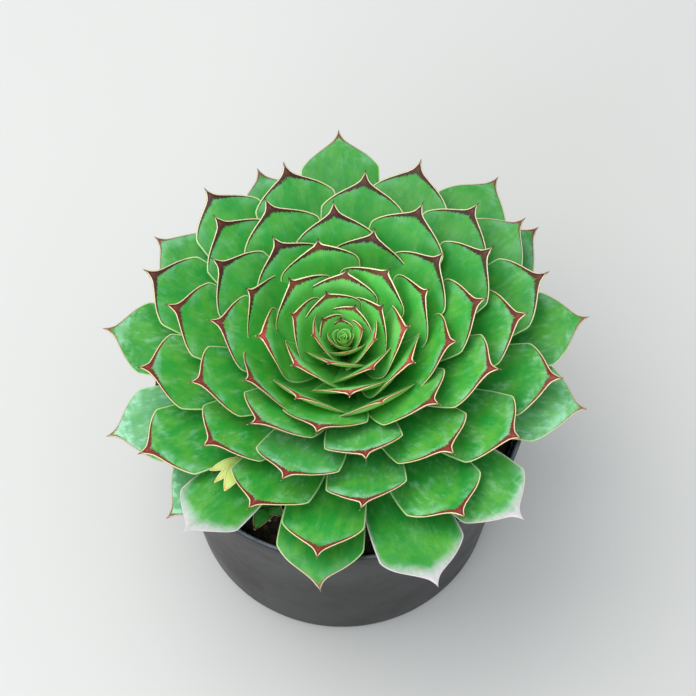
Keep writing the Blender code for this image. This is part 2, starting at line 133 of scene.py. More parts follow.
class Graph:
    """A node tree with short calls that add nodes and link them."""

    def __init__(self, tree: bpy.types.NodeTree) -> None:
        """Starts on an existing tree."""
        self.tree = tree

    def feed(self, socket: Socket, value: object) -> None:
        """Links a socket to a value, or sets it to a constant.

        Args:
            socket: The input to feed.
            value: A value of this graph, a number, a vector or a linear colour.
        """
        if isinstance(value, Value):
            self.tree.links.new(value.socket, socket)
        else:
            socket.default_value = value

    def node(self, kind: str, inputs: dict, **settings: object) -> bpy.types.Node:
        """Adds a node.

        Args:
            kind: The node's type name.
            inputs: What its inputs take, by name or index.
            **settings: The node's own properties.

        Returns:
            The new node.
        """
        made = self.tree.nodes.new(kind)
        for name, setting in settings.items():
            setattr(made, name, setting)
        for key, value in inputs.items():
            self.feed(made.inputs[key], value)
        return made

    def value(self, kind: str, inputs: dict, output: str | int = 0, **settings: object) -> Value:
        """Adds a node and gives one of its outputs. Args are otherwise as in node."""
        return Value(self, self.node(kind, inputs, **settings).outputs[output])

    def mix(self, amount: object, below: object, above: object, blend: str = "MIX") -> Value:
        """One colour laid over another.

        Args:
            amount: How much of the upper colour shows.
            below: The lower colour, as a value or a screen colour.
            above: The upper colour, likewise.
            blend: The way they blend.

        Returns:
            The mixed colour.
        """
        below, above = (linear(c) if isinstance(c, tuple) else c for c in (below, above))
        inputs = {0: amount, 6: below, 7: above}
        return self.value("ShaderNodeMix", inputs, 2, data_type="RGBA", blend_type=blend)

    def split(self, vector: Value) -> list[Value]:
        """A vector's three parts."""
        return [Value(self, part) for part in self.node("ShaderNodeSeparateXYZ", {0: vector}).outputs]

    def cloud(self, place: Value, scale: object, detail: float = 2.0, rough: float = 0.5) -> Value:
        """Noise from 0 to 1 at a place.

        Args:
            place: The place.
            scale: How many cells there are to a unit, as one number or one for each axis.
            detail: Octaves.
            rough: How strong each finer octave is.

        Returns:
            The noise value.
        """
        if isinstance(scale, tuple):
            place = self.value("ShaderNodeVectorMath", {0: place, 1: scale}, operation="MULTIPLY")
            scale = 1.0
        inputs = {"Vector": place, "Scale": scale, "Detail": detail, "Roughness": rough}
        return self.value("ShaderNodeTexNoise", inputs)

    def cells(self, place: Value, scale: float) -> Value:
        """Distance from a place to its nearest cell's middle."""
        return self.value("ShaderNodeTexVoronoi", {"Vector": place, "Scale": scale})

    def stored(self, name: str, output: str = "Vector") -> Value:
        """An attribute of the mesh."""
        return self.value("ShaderNodeAttribute", {}, output, attribute_name=name)

    def place(self) -> Value:
        """The place on the object, in metres."""
        return self.value("ShaderNodeTexCoord", {}, "Object")

    def bump(self, height: Value, strength: float, depth: float) -> Value:
        """A normal that follows a height, to a depth in metres."""
        return self.value("ShaderNodeBump", {"Height": height, "Strength": strength, "Distance": depth})

    def group(self, effect: "EffectGroup", inputs: dict[str, object]) -> dict[str, Value]:
        """Places a shared effect and gives its outputs by name."""
        made = self.node("ShaderNodeGroup", inputs, node_tree=effect.tree())
        return {output.name: Value(self, output) for output in made.outputs}


class EffectGroup:
    """A shader node group that is built once and shared by several materials."""

    NAME = "effect"
    VECTORS: tuple[str, ...] = ()
    NUMBERS: tuple[str, ...] = ()
    OUTPUTS: tuple[str, ...] = ()

    def tree(self) -> bpy.types.NodeTree:
        """Builds the group at the first call.

        Returns:
            Its node tree.
        """
        if self.NAME in bpy.data.node_groups:
            return bpy.data.node_groups[self.NAME]
        tree = bpy.data.node_groups.new(self.NAME, "ShaderNodeTree")
        for side, kind, names in (
            ("INPUT", "Vector", self.VECTORS),
            ("INPUT", "Float", self.NUMBERS),
            ("OUTPUT", "Float", self.OUTPUTS),
        ):
            for name in names:
                tree.interface.new_socket(name=name, in_out=side, socket_type=f"NodeSocket{kind}")
        graph = Graph(tree)
        entry = tree.nodes.new("NodeGroupInput").outputs
        results = self.build(graph, {socket.name: Value(graph, socket) for socket in entry})
        leave = tree.nodes.new("NodeGroupOutput").inputs
        for name, value in results.items():
            graph.feed(leave[name], value)
        return tree

    def build(self, graph: Graph, entry: dict[str, Value]) -> dict[str, Value]:
        """Adds the group's own nodes.

        Args:
            graph: The group's node tree.
            entry: Its inputs by name.

        Returns:
            Its outputs by name.
        """
        raise NotImplementedError


class LeafRim(EffectGroup):
    """The marks along a leaf's margin: pale line, dusky bands, a thin painted shade right at the edge,
    coloured tip, spine and dry paper.
    """

    NAME = "leaf_rim"
    VECTORS = ("Place", "Grain")
    NUMBERS = ("Line width", "Band width", "Tip reach", "Paper")
    OUTPUTS = ("Line", "Front", "Band", "Fill", "Blush", "Spine", "Paper")
    RAGGEDNESS = 0.2
    FRONT_REACH = (5.0, 13.5)
    # Reach in mm of the thin painted shade right at the margin's edge.
    OUTLINE = (0.02, 0.09)
    CORNER_LENGTH = 2.3
    FILL_REACH = (7.0, 10.0)
    SPINE_REACH = (0.2, 0.5)

    def build(self, graph: Graph, entry: dict[str, Value]) -> dict[str, Value]:
        """Adds the nodes. Args and Returns are as in the parent class."""
        edge, tip, _ = graph.split(entry["Place"])
        grain, dryness = entry["Grain"], entry["Paper"]
        ragged = graph.cloud(grain, 1.7, 3.0, 0.6) * self.RAGGEDNESS - self.RAGGEDNESS / 2
        edge = edge + ragged
        # The pale line, and the dusky band inside it that shows towards the tip.
        wander = graph.cloud(grain, 0.3) * 2.0 - 1.0
        front = (wander * 3.0 + tip).fall(*self.FRONT_REACH)
        width = entry["Line width"] * (1.6 - front * 0.6)
        soft = width * 1.25
        reach = entry["Band width"] * (front * 0.8 + 0.2) + soft
        # A thin painted shade right at the edge, drawn in the band's colour towards the tip.
        outline = edge.fall(*self.OUTLINE)
        band = edge.fall(reach, reach * 1.3).maths("MAXIMUM", outline) * front
        line = edge.fall(width * 0.8, soft).maths("SUBTRACT", outline * front, clamp=True)
        line = line * tip.step(0.5, 1.8)
        # The coloured corner, which narrows away from the tip.
        corner = tip.maths("DIVIDE", -self.CORNER_LENGTH).maths("EXPONENT") * entry["Tip reach"] + width
        corner = corner * graph.cloud(grain, (3.8, 0.8, 1.0), 3.0, 0.65) * 2.1
        fill = edge.fall(corner * 0.75, corner * 1.3) * tip.fall(*self.FILL_REACH)
        # The blush inside the band, in places.
        blushing = front * wander.maths("ABSOLUTE").fall(0.9, 0.2)
        blush = edge.fall(reach, blushing * 0.9 + reach) * blushing
        # Dry paper, which spreads inwards from the margin, most near the tip.
        dry = graph.cloud(grain, 0.21, 4.0, 0.62) * 2.0 - 0.2
        spread = (tip.fall(2.0, 16.0) * 3.4 + 0.5) * dry * dryness
        wisps = graph.cloud(grain, (1.4, 0.5, 1.0), 3.0, 0.65)
        thin = (tip.fall(1.0, 11.0) * 0.6 + wisps * 0.7) * dryness.step(0.02, 0.15)
        paper = edge.fall(spread * 0.1, spread * 1.7 + 0.5) * thin
        results = (line, front, band, fill, blush, tip.fall(*self.SPINE_REACH), paper)
        return dict(zip(self.OUTPUTS, results))


class LeafFlesh(EffectGroup):
    """Mottling, waxy streaks and fine grain that run along a leaf."""

    NAME = "leaf_flesh"
    VECTORS = ("Grain", "Place")
    NUMBERS = ("Wax",)
    OUTPUTS = ("Mottle", "Bloom", "Pores", "Height")
    RIM_BLOOM = 0.8
    DAB_BLOOM = 0.62
    SPECK_BLOOM = 0.6

    def build(self, graph: Graph, entry: dict[str, Value]) -> dict[str, Value]:
        """Adds the nodes. Args and Returns are as in the parent class."""
        grain, wax = entry["Grain"], entry["Wax"]
        edge, tip, _ = graph.split(entry["Place"])
        mottle = graph.cloud(grain, (0.24, 0.15, 1.0), 3.0, 0.55).step(0.36, 0.66)
        patch = graph.cloud(grain, (0.2, 0.16, 1.0))
        pores = graph.cloud(grain, 5.0, 2.0, 0.6)
        veins = graph.cloud(grain, (1.6, 0.16, 1.0))
        # Wax lies in brushed dabs, along the rim, in specks and as a film on the waxiest leaves.
        dabs = graph.cloud(grain, (0.75, 0.3, 1.0), 4.0, 0.62).step(0.44, 0.74) * patch.step(0.36, 0.6)
        rimward = edge.fall(0.9, 4.2) * tip.fall(7.0, 17.0)
        drift = graph.cloud(grain, (0.16, 0.3, 1.0), 3.0, 0.6).step(0.4, 0.62)
        bloom = rimward * drift * self.RIM_BLOOM + dabs * self.DAB_BLOOM
        specks = graph.cells(grain, 1.35).fall(0.07, 0.16) * patch.step(0.46, 0.62)
        bloom = (bloom * (pores * 1.1 + 0.45)).maths("MAXIMUM", specks * self.SPECK_BLOOM)
        film = wax.step(0.6, 1.0) * (patch * 0.5 + 0.08)
        bloom = (bloom * wax).maths("ADD", film, clamp=True)
        return dict(zip(self.OUTPUTS, (mottle, bloom, pores, pores * 0.45 + veins * 0.7)))


class Dust(EffectGroup):
    """A pale film of dust and splashes of earth."""

    NAME = "dust"
    VECTORS = ("Place",)
    NUMBERS = ("Amount",)
    OUTPUTS = ("Film", "Specks")

    def build(self, graph: Graph, entry: dict[str, Value]) -> dict[str, Value]:
        """Adds the nodes. Args and Returns are as in the parent class."""
        place, amount = entry["Place"], entry["Amount"]
        film = graph.cloud(place, 46.0, 5.0, 0.62).step(0.42, 0.78)
        patches = graph.cloud(place, 90.0, 3.0).step(0.52, 0.68)
        specks = graph.cells(place, 420.0).fall(0.1, 0.24) * patches
        return {"Film": film * amount, "Specks": specks * amount}


# ---------------------------------------------------------------- finishes
@dataclass(frozen=True)
class Finish:
    """The colours and gloss of one kind of surface."""

    name: str

    def material(self) -> bpy.types.Material:
        """Builds the material at the first call.

        Returns:
            The finish's material.
        """
        if self.name in bpy.data.materials:
            return bpy.data.materials[self.name]
        material = bpy.data.materials.new(self.name)
        material.use_nodes = True
        graph = Graph(material.node_tree)
        shader = material.node_tree.nodes["Principled BSDF"]
        for name, value in self.paint(graph).items():
            graph.feed(shader.inputs[name], value)
        return material

    def paint(self, graph: Graph) -> dict[str, object]:
        """Adds the material's nodes.

        Args:
            graph: The material's node tree.

        Returns:
            What the shader's inputs take, by name.
        """
        raise NotImplementedError


@dataclass(frozen=True)
class LeafFinish(Finish):
    """The colours and gloss of one kind of leaf, with painted shade towards its base and on leaves
    behind.
    """

    fresh: Screen = (60, 168, 60)
    aged: Screen = (38, 150, 52)
    sunny: Screen = (112, 186, 66)
    # The darker green of the painted shade.
    shade_green: Screen = (28, 138, 50)
    back: Screen = (112, 176, 84)
    wax: Screen = (158, 216, 184)
    line: Screen = (240, 230, 176)
    green_line: Screen = (186, 224, 150)
    dusky: Screen = (54, 24, 18)
    maroon: Screen = (112, 40, 36)
    crimson: Screen = (166, 66, 58)
    brown: Screen = (112, 52, 36)
    rosy: Screen = (178, 120, 92)
    paper: Screen = (206, 198, 208)
    line_width: float = 0.23
    band_width: float = 0.32
    tip_reach: float = 6.4
    young_share: float = 1.0
    first_marks: tuple[float, float] = (-0.2, -0.1)
    roughness: float = 0.42
    specular: float = 0.3

    DUSKY_REACH = 0.35
    SUNNY = 0.52
    BASE_SHADE = 0.7
    BACK_SHADE = 0.45

    def paint(self, graph: Graph) -> dict[str, object]:
        """Adds the nodes. Args and Returns are as in the parent class."""
        place, grain = graph.stored("leaf_place"), graph.stored("leaf_grain")
        age = graph.stored("leaf_age", "Fac")
        _, tip, upper = graph.split(place)
        dusk, wax, dryness = graph.split(graph.stored("leaf_habit"))
        flesh = graph.group(LeafFlesh(), {"Grain": grain, "Place": place, "Wax": wax})
        grown = age * (1 - self.young_share) + self.young_share
        marks = {
            "Place": place,
            "Grain": grain,
            "Line width": self.line_width,
            "Band width": grown * self.band_width,
            "Tip reach": grown * (dusk * (self.DUSKY_REACH * self.tip_reach) + self.tip_reach),
            "Paper": dryness,
        }
        rim = graph.group(LeafRim(), marks)

        colour = graph.mix(age, self.fresh, self.aged)
        colour = graph.mix(flesh["Mottle"] * self.SUNNY, colour, self.sunny)
        # Painted shade: the green darkens towards the leaf's base, deep among the crowded leaves, and
        # on leaves behind.
        depth = tip.step(7.0, 26.0) * self.BASE_SHADE
        colour = graph.mix(depth.maths("MAXIMUM", dusk * self.BACK_SHADE), colour, self.shade_green)
        colour = graph.mix(upper, self.back, colour)
        colour = graph.mix(1.0, colour, flesh["Pores"] * 0.5 + 0.75, blend="MULTIPLY")
        colour = graph.mix(flesh["Bloom"], colour, self.wax)
        colour = graph.mix(rim["Blush"] * 0.5, colour, self.rosy)
        marked = age.step(*self.first_marks)
        band = graph.mix(dusk, self.maroon, self.dusky)
        fill = graph.mix(tip.fall(1.6, 4.2), band, graph.mix(dusk, self.crimson, self.brown))
        colour = graph.mix(rim["Fill"] * marked, colour, fill)
        colour = graph.mix(rim["Band"] * marked, colour, band)
        colour = graph.mix(rim["Paper"], colour, self.paper)
        line = graph.mix(rim["Front"], self.green_line, self.line)
        colour = graph.mix(rim["Line"], colour, graph.mix(dryness, line, self.paper))
        colour = graph.mix(rim["Spine"] * 0.8, colour, graph.mix(dusk, self.line, self.dusky))
        return {
            "Base Color": colour,
            "Roughness": rim["Paper"] * 0.25 + (flesh["Bloom"] * 0.3 + self.roughness),
            "Specular IOR Level": self.specular,
            "Normal": graph.bump(flesh["Height"], 0.25, 0.0003),
        }


# The heart's pale back and bright greens are partly the young leaves' own lighter colour and partly
# painted light, for the light that shines through the thin leaves into the crevices.
HEART_FINISH = LeafFinish(
    "heart_leaf_skin",
    fresh=(112, 198, 88),
    aged=(56, 172, 70),
    sunny=(134, 208, 90),
    shade_green=(78, 188, 76),
    back=(178, 236, 108),
    line=(246, 242, 178),
    crimson=(192, 70, 74),
    maroon=(122, 30, 28),
    rosy=(210, 130, 80),
    line_width=0.27,
    band_width=0.2,
    tip_reach=4.4,
    young_share=0.12,
    first_marks=(0.0, 0.05),
)
BLADE_FINISH = LeafFinish("green_leaf_skin")
OLD_FINISH = LeafFinish(
    "old_leaf_skin",
    fresh=(50, 150, 48),
    aged=(42, 138, 56),
    sunny=(100, 176, 56),
    back=(84, 150, 72),
    line=(206, 208, 176),
    crimson=(120, 98, 64),
    maroon=(140, 112, 88),
    dusky=(112, 76, 60),
    line_width=0.2,
    band_width=0.06,
    tip_reach=1.4,
)
OFFSET_FINISH = LeafFinish(
    "offset_leaf_skin",
    line_width=0.2,
    band_width=0.12,
    tip_reach=0.6,
    maroon=(84, 60, 40),
)
PALE_FINISH = LeafFinish(
    "pale_leaf_skin",
    fresh=(196, 214, 104),
    aged=(206, 218, 124),
    sunny=(228, 228, 150),
    shade_green=(150, 186, 70),
    back=(202, 216, 122),
    crimson=(214, 176, 100),
    brown=(206, 170, 100),
    maroon=(190, 180, 90),
    dusky=(190, 176, 90),
    rosy=(222, 200, 120),
    line_width=0.2,
    band_width=0.1,
    tip_reach=0.5,
)


@dataclass(frozen=True)
class PotFinish(Finish):
    """Dark moulded plastic with a dusty film, and pale lines of painted highlight along the rim's
    edges.
    """

    name: str = "moulded_plastic"
    edges: tuple[float, ...] = ()
    plastic: Screen = (34, 33, 35)
    dust: Screen = (112, 108, 102)
    rim_highlight: Screen = (132, 140, 154)
    shade: float = 0.8
    highlight_reach: float = 0.0007
    roughness: float = 0.36
    specular: float = 0.2

    def paint(self, graph: Graph) -> dict[str, object]:
        """Adds the nodes. Args and Returns are as in the parent class."""
        place = graph.place()
        dust = graph.group(Dust(), {"Place": place, "Amount": 0.5})
        shaded = tuple(self.shade * c for c in self.plastic)
        colour = graph.mix(graph.cloud(place, 30.0, 3.0), self.plastic, shaded)
        colour = graph.mix(dust["Film"] * 0.35, colour, self.dust)
        colour = graph.mix(dust["Specks"], colour, self.dust)
        # Broken pale lines at the rim's top and lower edge are painted highlight, the sky's reflection
        # on the rolled rim.
        highlight_breaks = graph.cloud(place, 120.0, 4.0, 0.6).step(0.3, 0.7)
        for edge in self.edges:
            away = (graph.split(place)[2] - edge).maths("ABSOLUTE")
            line = away.fall(0.3 * self.highlight_reach, self.highlight_reach) * highlight_breaks
            colour = graph.mix(line * 0.75, colour, self.rim_highlight)
        scratches = graph.cloud(place, (60.0, 60.0, 900.0), 3.0, 0.6)
        return {
            "Base Color": colour,
            "Roughness": dust["Film"] * 0.4 + self.roughness,
            "Specular IOR Level": self.specular,
            "Normal": graph.bump(scratches * 0.6 + graph.cloud(place, 900.0) * 0.4, 0.12, 0.0002),
        }


@dataclass(frozen=True)
class EarthFinish(Finish):
    """Moist peaty growing mix."""

    name: str = "peaty_mix"
    wet: Screen = (24, 17, 12)
    dry: Screen = (62, 46, 34)
    roughness: float = 0.75

    def paint(self, graph: Graph) -> dict[str, object]:
        """Adds the nodes. Args and Returns are as in the parent class."""
        place = graph.place()
        clods = graph.cloud(place, 260.0, 5.0, 0.65)
        return {
            "Base Color": graph.mix(clods.step(0.35, 0.75), self.wet, self.dry),
            "Roughness": clods * 0.2 + self.roughness,
            "Normal": graph.bump(graph.cloud(place, 700.0, 4.0, 0.7), 0.8, 0.0006),
        }


@dataclass(frozen=True)
class CrumbFinish(Finish):
    """Crumbs of bark, peat and perlite, told apart by each crumb's own tint."""

    name: str = "crumbs"
    peat: Screen = (20, 14, 10)
    bark: Screen = (78, 54, 36)
    perlite: Screen = (206, 202, 192)
    roughness: float = 0.75

    def paint(self, graph: Graph) -> dict[str, object]:
        """Adds the nodes. Args and Returns are as in the parent class."""
        tint = graph.stored("crumb_tint", "Fac")
        grain = graph.cloud(graph.place(), 1500.0, 3.0, 0.6)
        shade = grain * 0.3 + (tint - 0.15)
        colour = graph.mix(shade.step(0.0, 0.9), self.peat, self.bark)
        return {
            "Base Color": graph.mix(tint.step(0.95, 0.97), colour, self.perlite),
            "Roughness": grain * 0.2 + self.roughness,
            "Normal": graph.bump(grain, 0.6, 0.0002),
        }


@dataclass(frozen=True)
class StemFinish(Finish):
    """Brown woody stem, ridged round by old leaf scars."""

    name: str = "ridged_bark"
    dark: Screen = (58, 38, 24)
    light: Screen = (128, 98, 66)
    earth: Screen = (30, 20, 14)
    roughness: float = 0.7

    def paint(self, graph: Graph) -> dict[str, object]:
        """Adds the nodes. Args and Returns are as in the parent class."""
        place = graph.place()
        rings = graph.cloud(place, (220.0, 220.0, 1400.0), 4.0, 0.6)
        colour = graph.mix(rings.step(0.35, 0.7), self.dark, self.light)
        dust = graph.group(Dust(), {"Place": place, "Amount": 0.6})
        return {
            "Base Color": graph.mix(dust["Specks"], colour, self.earth),
            "Roughness": rings * 0.2 + self.roughness,
            "Normal": graph.bump(rings, 0.7, 0.0004),
        }


@dataclass(frozen=True)
class FloorFinish(Finish):
    """The studio's pale matt floor."""

    name: str = "pale_floor"
    light: Screen = (214, 214, 212)
    dark: Screen = (208, 208, 207)
    roughness: float = 0.8

    def paint(self, graph: Graph) -> dict[str, object]:
        """Adds the nodes. Args and Returns are as in the parent class."""
        colour = graph.mix(graph.cloud(graph.place(), 3.0), self.light, self.dark)
        return {"Base Color": colour, "Roughness": self.roughness}


# ---------------------------------------------------------------- pieces in common
def new_piece(name: str, mesh: bpy.types.Mesh, finish: Finish) -> bpy.types.Object:
    """Makes an object at the origin from a mesh that holds its own place.

    Args:
        name: The piece's name.
        mesh: Its mesh, in metres.
        finish: Its finish.

    Returns:
        The new object, shaded smooth.
    """
    piece = bpy.data.objects.new(name, mesh)
    mesh.name = name
    mesh.materials.append(finish.material())
    mesh.shade_smooth()
    bpy.context.scene.collection.objects.link(piece)
    return piece


def settle(piece: bpy.types.Object, slot: Slot, *nodes: str) -> None:
    """Puts a finished piece in the place of its CAD nodes and reports it.

    Args:
        piece: The finished piece.
        slot: The record's slot that its finish stands for. Not used.
        *nodes: The CAD nodes that it replaces.
    """
    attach(piece, "root")
    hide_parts(*nodes)
    LOG.info("%s: %d faces, for %s", piece.name, len(piece.data.polygons), ", ".join(nodes))


def mesh_from(bm: bmesh.types.BMesh, name: str, place: Matrix | None = None) -> bpy.types.Mesh:
    """Stores a bmesh as a mesh and frees it.

    Args:
        bm: The bmesh.
        name: The mesh's name.
        place: A matrix that moves it first, if given.

    Returns:
        The mesh.
    """
    if place:
        bmesh.ops.transform(bm, matrix=place, verts=bm.verts)
    mesh = bpy.data.meshes.new(name)
    bm.to_mesh(mesh)
    bm.free()
    return mesh


def write(mesh: bpy.types.Mesh, name: str, rows: np.ndarray) -> None:
    """Stores a number or a vector for each vertex as an attribute.

    Args:
        mesh: The mesh.
        name: The attribute's name.
        rows: One number or one row of three for each vertex.
    """
    kind, field = ("FLOAT", "value") if rows.ndim == 1 else ("FLOAT_VECTOR", "vector")
    made = mesh.attributes.new(name, kind, "POINT")
    made.data.foreach_set(field, rows.astype(np.float32).ravel())


def turned(profile: list[tuple[float, float]], steps: int) -> bmesh.types.BMesh:
    """Spins an outline round the Z axis into a closed shell.

    Args:
        profile: (radius, height) points in mm. It starts and ends on the axis, or closes on itself.
        steps: How many faces go round.

    Returns:
        The spun bmesh, in mm, its normals outwards.
    """
    bm = bmesh.new()
    verts = [bm.verts.new((r, 0.0, z)) for r, z in profile]
    pairs = list(zip(verts, verts[1:]))
    if profile[0][0] > 0.0:
        pairs.append((verts[-1], verts[0]))
    edges = [bm.edges.new(pair) for pair in pairs]
    bmesh.ops.spin(
        bm,
        geom=verts + edges,
        cent=(0.0, 0.0, 0.0),
        axis=(0.0, 0.0, 1.0),
        angle=math.tau,
        steps=steps,
        use_merge=True,
        use_duplicate=False,
    )
    bmesh.ops.remove_doubles(bm, verts=bm.verts, dist=TOUCHING)
    bmesh.ops.recalc_face_normals(bm, faces=bm.faces)
    return bm


@dataclass(frozen=True)
class Track:
    """A value that changes smoothly with a leaf's number, through given points."""

    points: tuple[tuple[float, float], ...]

    def at(self, x: float) -> float:
        """Reads the monotone curve, which is held level past its ends.

        Args:
            x: The leaf's number.

        Returns:
            The value there.
        """
        xs, ys = zip(*self.points)
        x = min(max(x, xs[0]), xs[-1])
        slopes = [(ys[i + 1] - ys[i]) / (xs[i + 1] - xs[i]) for i in range(len(xs) - 1)]
        tangents = [slopes[0]]
        for before, after in zip(slopes, slopes[1:]):
            level = before * after <= 0
            tangents.append(0.0 if level else 2 * before * after / (before + after))
        tangents.append(slopes[-1])
        i = max(k for k in range(len(slopes)) if xs[k] <= x)
        width = xs[i + 1] - xs[i]
        t = (x - xs[i]) / width
        return (
            ys[i] * (1 + 2 * t) * (1 - t) ** 2
            + tangents[i] * width * t * (1 - t) ** 2
            + ys[i + 1] * t * t * (3 - 2 * t)
            + tangents[i + 1] * width * t * t * (t - 1)
        )


def direction(slope: float) -> np.ndarray:
    """The unit vector at a slope in degrees, as (outwards, upwards)."""
    return np.array((math.cos(math.radians(slope)), math.sin(math.radians(slope))))


# ---------------------------------------------------------------- leaves
@dataclass
class LeafForm:
    """One leaf's shape in the rosette's frame: a curved midline, a width and a thickness."""

    azimuth: float
    foot: np.ndarray
    tip: np.ndarray
    half_width: float
    foot_half_width: float
    aside: float
    seed: float
    slope: float
    knee: float
    flesh: float
    shoulder: float
    recurve: float
    flatness: float
    side_curve: float
    upright: float
    spine: float
    hollow: float
    ripple: float

    ASIDE_START = 0.5
    ASIDE_REACH = 4.0
    RECURVE_REACH = 6.0
    RECURVE_SHARE = 0.28
    RECURVE_RISE = 0.55
    CLAW_POWER = 1.15
    FOOT_SKIN = 0.3
    FOOT_FLESH = 0.45
    BLADE_FLESH = 0.6
    SPINE_FLESH = 0.25
    SPINE_WIDTH = 0.1
    SPINE_LARGEST_SHARE = 0.12
    SPINE_HOLLOW = 1.5
    SMALLEST_RADIUS = 0.8
    ABOVE = 0.45
    ABOVE_POWER = 0.85
    BELOW_POWER = 0.6
    SWELL_POWER = 1.3
    SPINE_POWER = 0.7
    OUTLINE_POINTS = 180

    def __post_init__(self) -> None:
        """Works out the midline's curve and the places along it."""
        chord = self.tip - self.foot
        self.length = float(np.hypot(*chord))
        sag = self.slope * self.knee
        bend = math.atan2(chord[1], chord[0]) - math.radians(sag)
        knee = self.tip - direction(sag) * self.length / (2 * math.cos(bend))
        self.base_handle = self.foot + (knee - self.foot) * 2 / 3
        self.tip_handle = self.tip - direction(self.slope) * self.length * self.upright
        self.spine_root = 1 - min(self.spine / self.length, self.SPINE_LARGEST_SHARE)
        reach = self.shoulder * 2 * self.half_width / self.length
        self.widest = max(0.5, self.spine_root - reach)
        self.shares = np.linspace(0.0, 1.0, self.OUTLINE_POINTS)
        middles, _ = self.midline(self.shares)
        steps = np.hypot(*np.diff(middles, axis=0).T)
        self.run = np.concatenate(([0.0], np.cumsum(steps)))

    def midline(self, s: np.ndarray) -> tuple[np.ndarray, np.ndarray]:
        """The midline's points and its upper normals.

        Args:
            s: Shares of the length.

        Returns:
            Two arrays of (radius, height) rows.
        """
        s = s[:, None]
        t = 1 - s
        a, b, c, d = self.foot, self.base_handle, self.tip_handle, self.tip
        points = a * t**3 + b * 3 * t * t * s + c * 3 * t * s * s + d * s**3
        way = (b - a) * t * t + (c - b) * 2 * t * s + (d - c) * s * s
        way /= np.linalg.norm(way, axis=1, keepdims=True)
        return points, np.stack((-way[:, 1], way[:, 0]), axis=1)

    def spine_left(self, s: np.ndarray) -> np.ndarray:
        """How much of the spine lies beyond shares of the length, from 1 at its root to 0."""
        return np.clip((1 - s) / (1 - self.spine_root), 0.0, 1.0)

    def half_width_at(self, s: np.ndarray) -> np.ndarray:
        """The leaf's half width.

        Args:
            s: Shares of the length.

        Returns:
            The half width at each share, in mm.
        """
        foot, full, narrow = self.foot_half_width, self.half_width, self.SPINE_WIDTH
        claw = np.clip(s / self.widest, 0.0, 1.0)
        rising = foot + (full - foot) * np.sin(math.pi / 2 * claw) ** self.CLAW_POWER
        x = np.clip((s - self.widest) / (self.spine_root - self.widest), 0.0, 1.0)
        hollow = self.hollow * x**4 * (1 - x)
        blade = full * (narrow + (1 - narrow) * (1 - x**self.side_curve - hollow))
        spine = full * narrow * self.spine_left(s) ** self.SPINE_HOLLOW
        return np.where(s <= self.widest, rising, np.where(s <= self.spine_root, blade, spine))

    def thickness_at(self, s: np.ndarray) -> np.ndarray:
        """The leaf's thickness along its middle.

        Args:
            s: Shares of the length.

        Returns:
            The thickness at each share, in mm.
        """
        along = np.clip(s / self.spine_root, 0.0, 1.0)
        foot, spine = self.FOOT_SKIN + self.FOOT_FLESH * self.flesh, self.SPINE_FLESH * self.flesh
        blade = foot * (1 - s) + spine * s
        blade = blade + self.BLADE_FLESH * self.flesh * np.sin(math.pi * along**self.SWELL_POWER)
        return np.where(s >= self.spine_root, spine * self.spine_left(s) ** self.SPINE_POWER, blade)

    def waves(self, across: np.ndarray, along: np.ndarray, s: np.ndarray) -> np.ndarray:
        """The small unevenness of the blade.

        Args:
            across: Distances from the midline, in mm.
            along: Distances from the base, in mm.
            s: Shares of the length.

        Returns:
            How far each point is lifted along the blade's normal, in mm.
        """
        turn = self.seed * 2.4
        wave = np.sin(0.31 * along + turn) * np.cos(0.27 * across + 1.7 * turn)
        wave += 0.5 * np.sin(0.62 * along + 0.35 * across + 2.3 * turn)
        wave += 0.35 * np.sin(0.85 * across - 0.2 * along + 3.1 * turn)
        return self.ripple * wave * np.clip(s * 1.6 - 0.5, 0.0, 1.0)

    def points(self, s: np.ndarray, u: np.ndarray, side: np.ndarray) -> np.ndarray:
        """Points of the leaf's skin.

        Args:
            s: Shares of the length.
            u: Places across, from -1 to 1.
            side: 1 above, -1 below and 0 on the margin.

        Returns:
            Rows of (x, y, z) in the rosette's frame, in mm.
        """
        middles, normals = self.midline(s)
        half = self.half_width_at(s)
        roundness = np.maximum(0.0, 1 - u * u)
        above = self.ABOVE * roundness**self.ABOVE_POWER
        below = (1 - self.ABOVE) * roundness**self.BELOW_POWER
        lift = np.where(side > 0, above, -below) * self.thickness_at(s) * np.abs(side)
        lift = lift + self.waves(u * half, s * self.length, s)
        at = middles + normals * lift[:, None]
        from_foot = np.sin(math.pi / 2 * np.minimum(1.0, s / self.ASIDE_START))
        curled = min(self.RECURVE_REACH, self.RECURVE_SHARE * self.length)
        beyond = 1 - np.maximum(0.0, 1 - (1 - s) * self.length / curled) ** 2
        beyond *= self.recurve * from_foot
        at += beyond[:, None] * (-1.0, self.RECURVE_RISE)
        from_tip = 1 - np.exp((s - 1) * self.length / self.ASIDE_REACH)
        across = u * half + self.aside * from_tip * from_foot
        turn = across / np.maximum(at[:, 0], self.SMALLEST_RADIUS)
        flat, bent = self.flatness, 1 - self.flatness
        outward = at[:, 0] * (flat + bent * np.cos(turn))
        sideways = flat * across + bent * at[:, 0] * np.sin(turn)
        cos, sin = math.cos(self.azimuth), math.sin(self.azimuth)
        x, y = outward * cos - sideways * sin, outward * sin + sideways * cos
        return np.stack((x, y, at[:, 1]), axis=1)

    def flat(self, s: np.ndarray, u: np.ndarray) -> np.ndarray:
        """Places on the leaf laid flat, as rows of (across, along) in mm."""
        return np.stack((u * self.half_width_at(s), np.interp(s, self.shares, self.run)), axis=1)

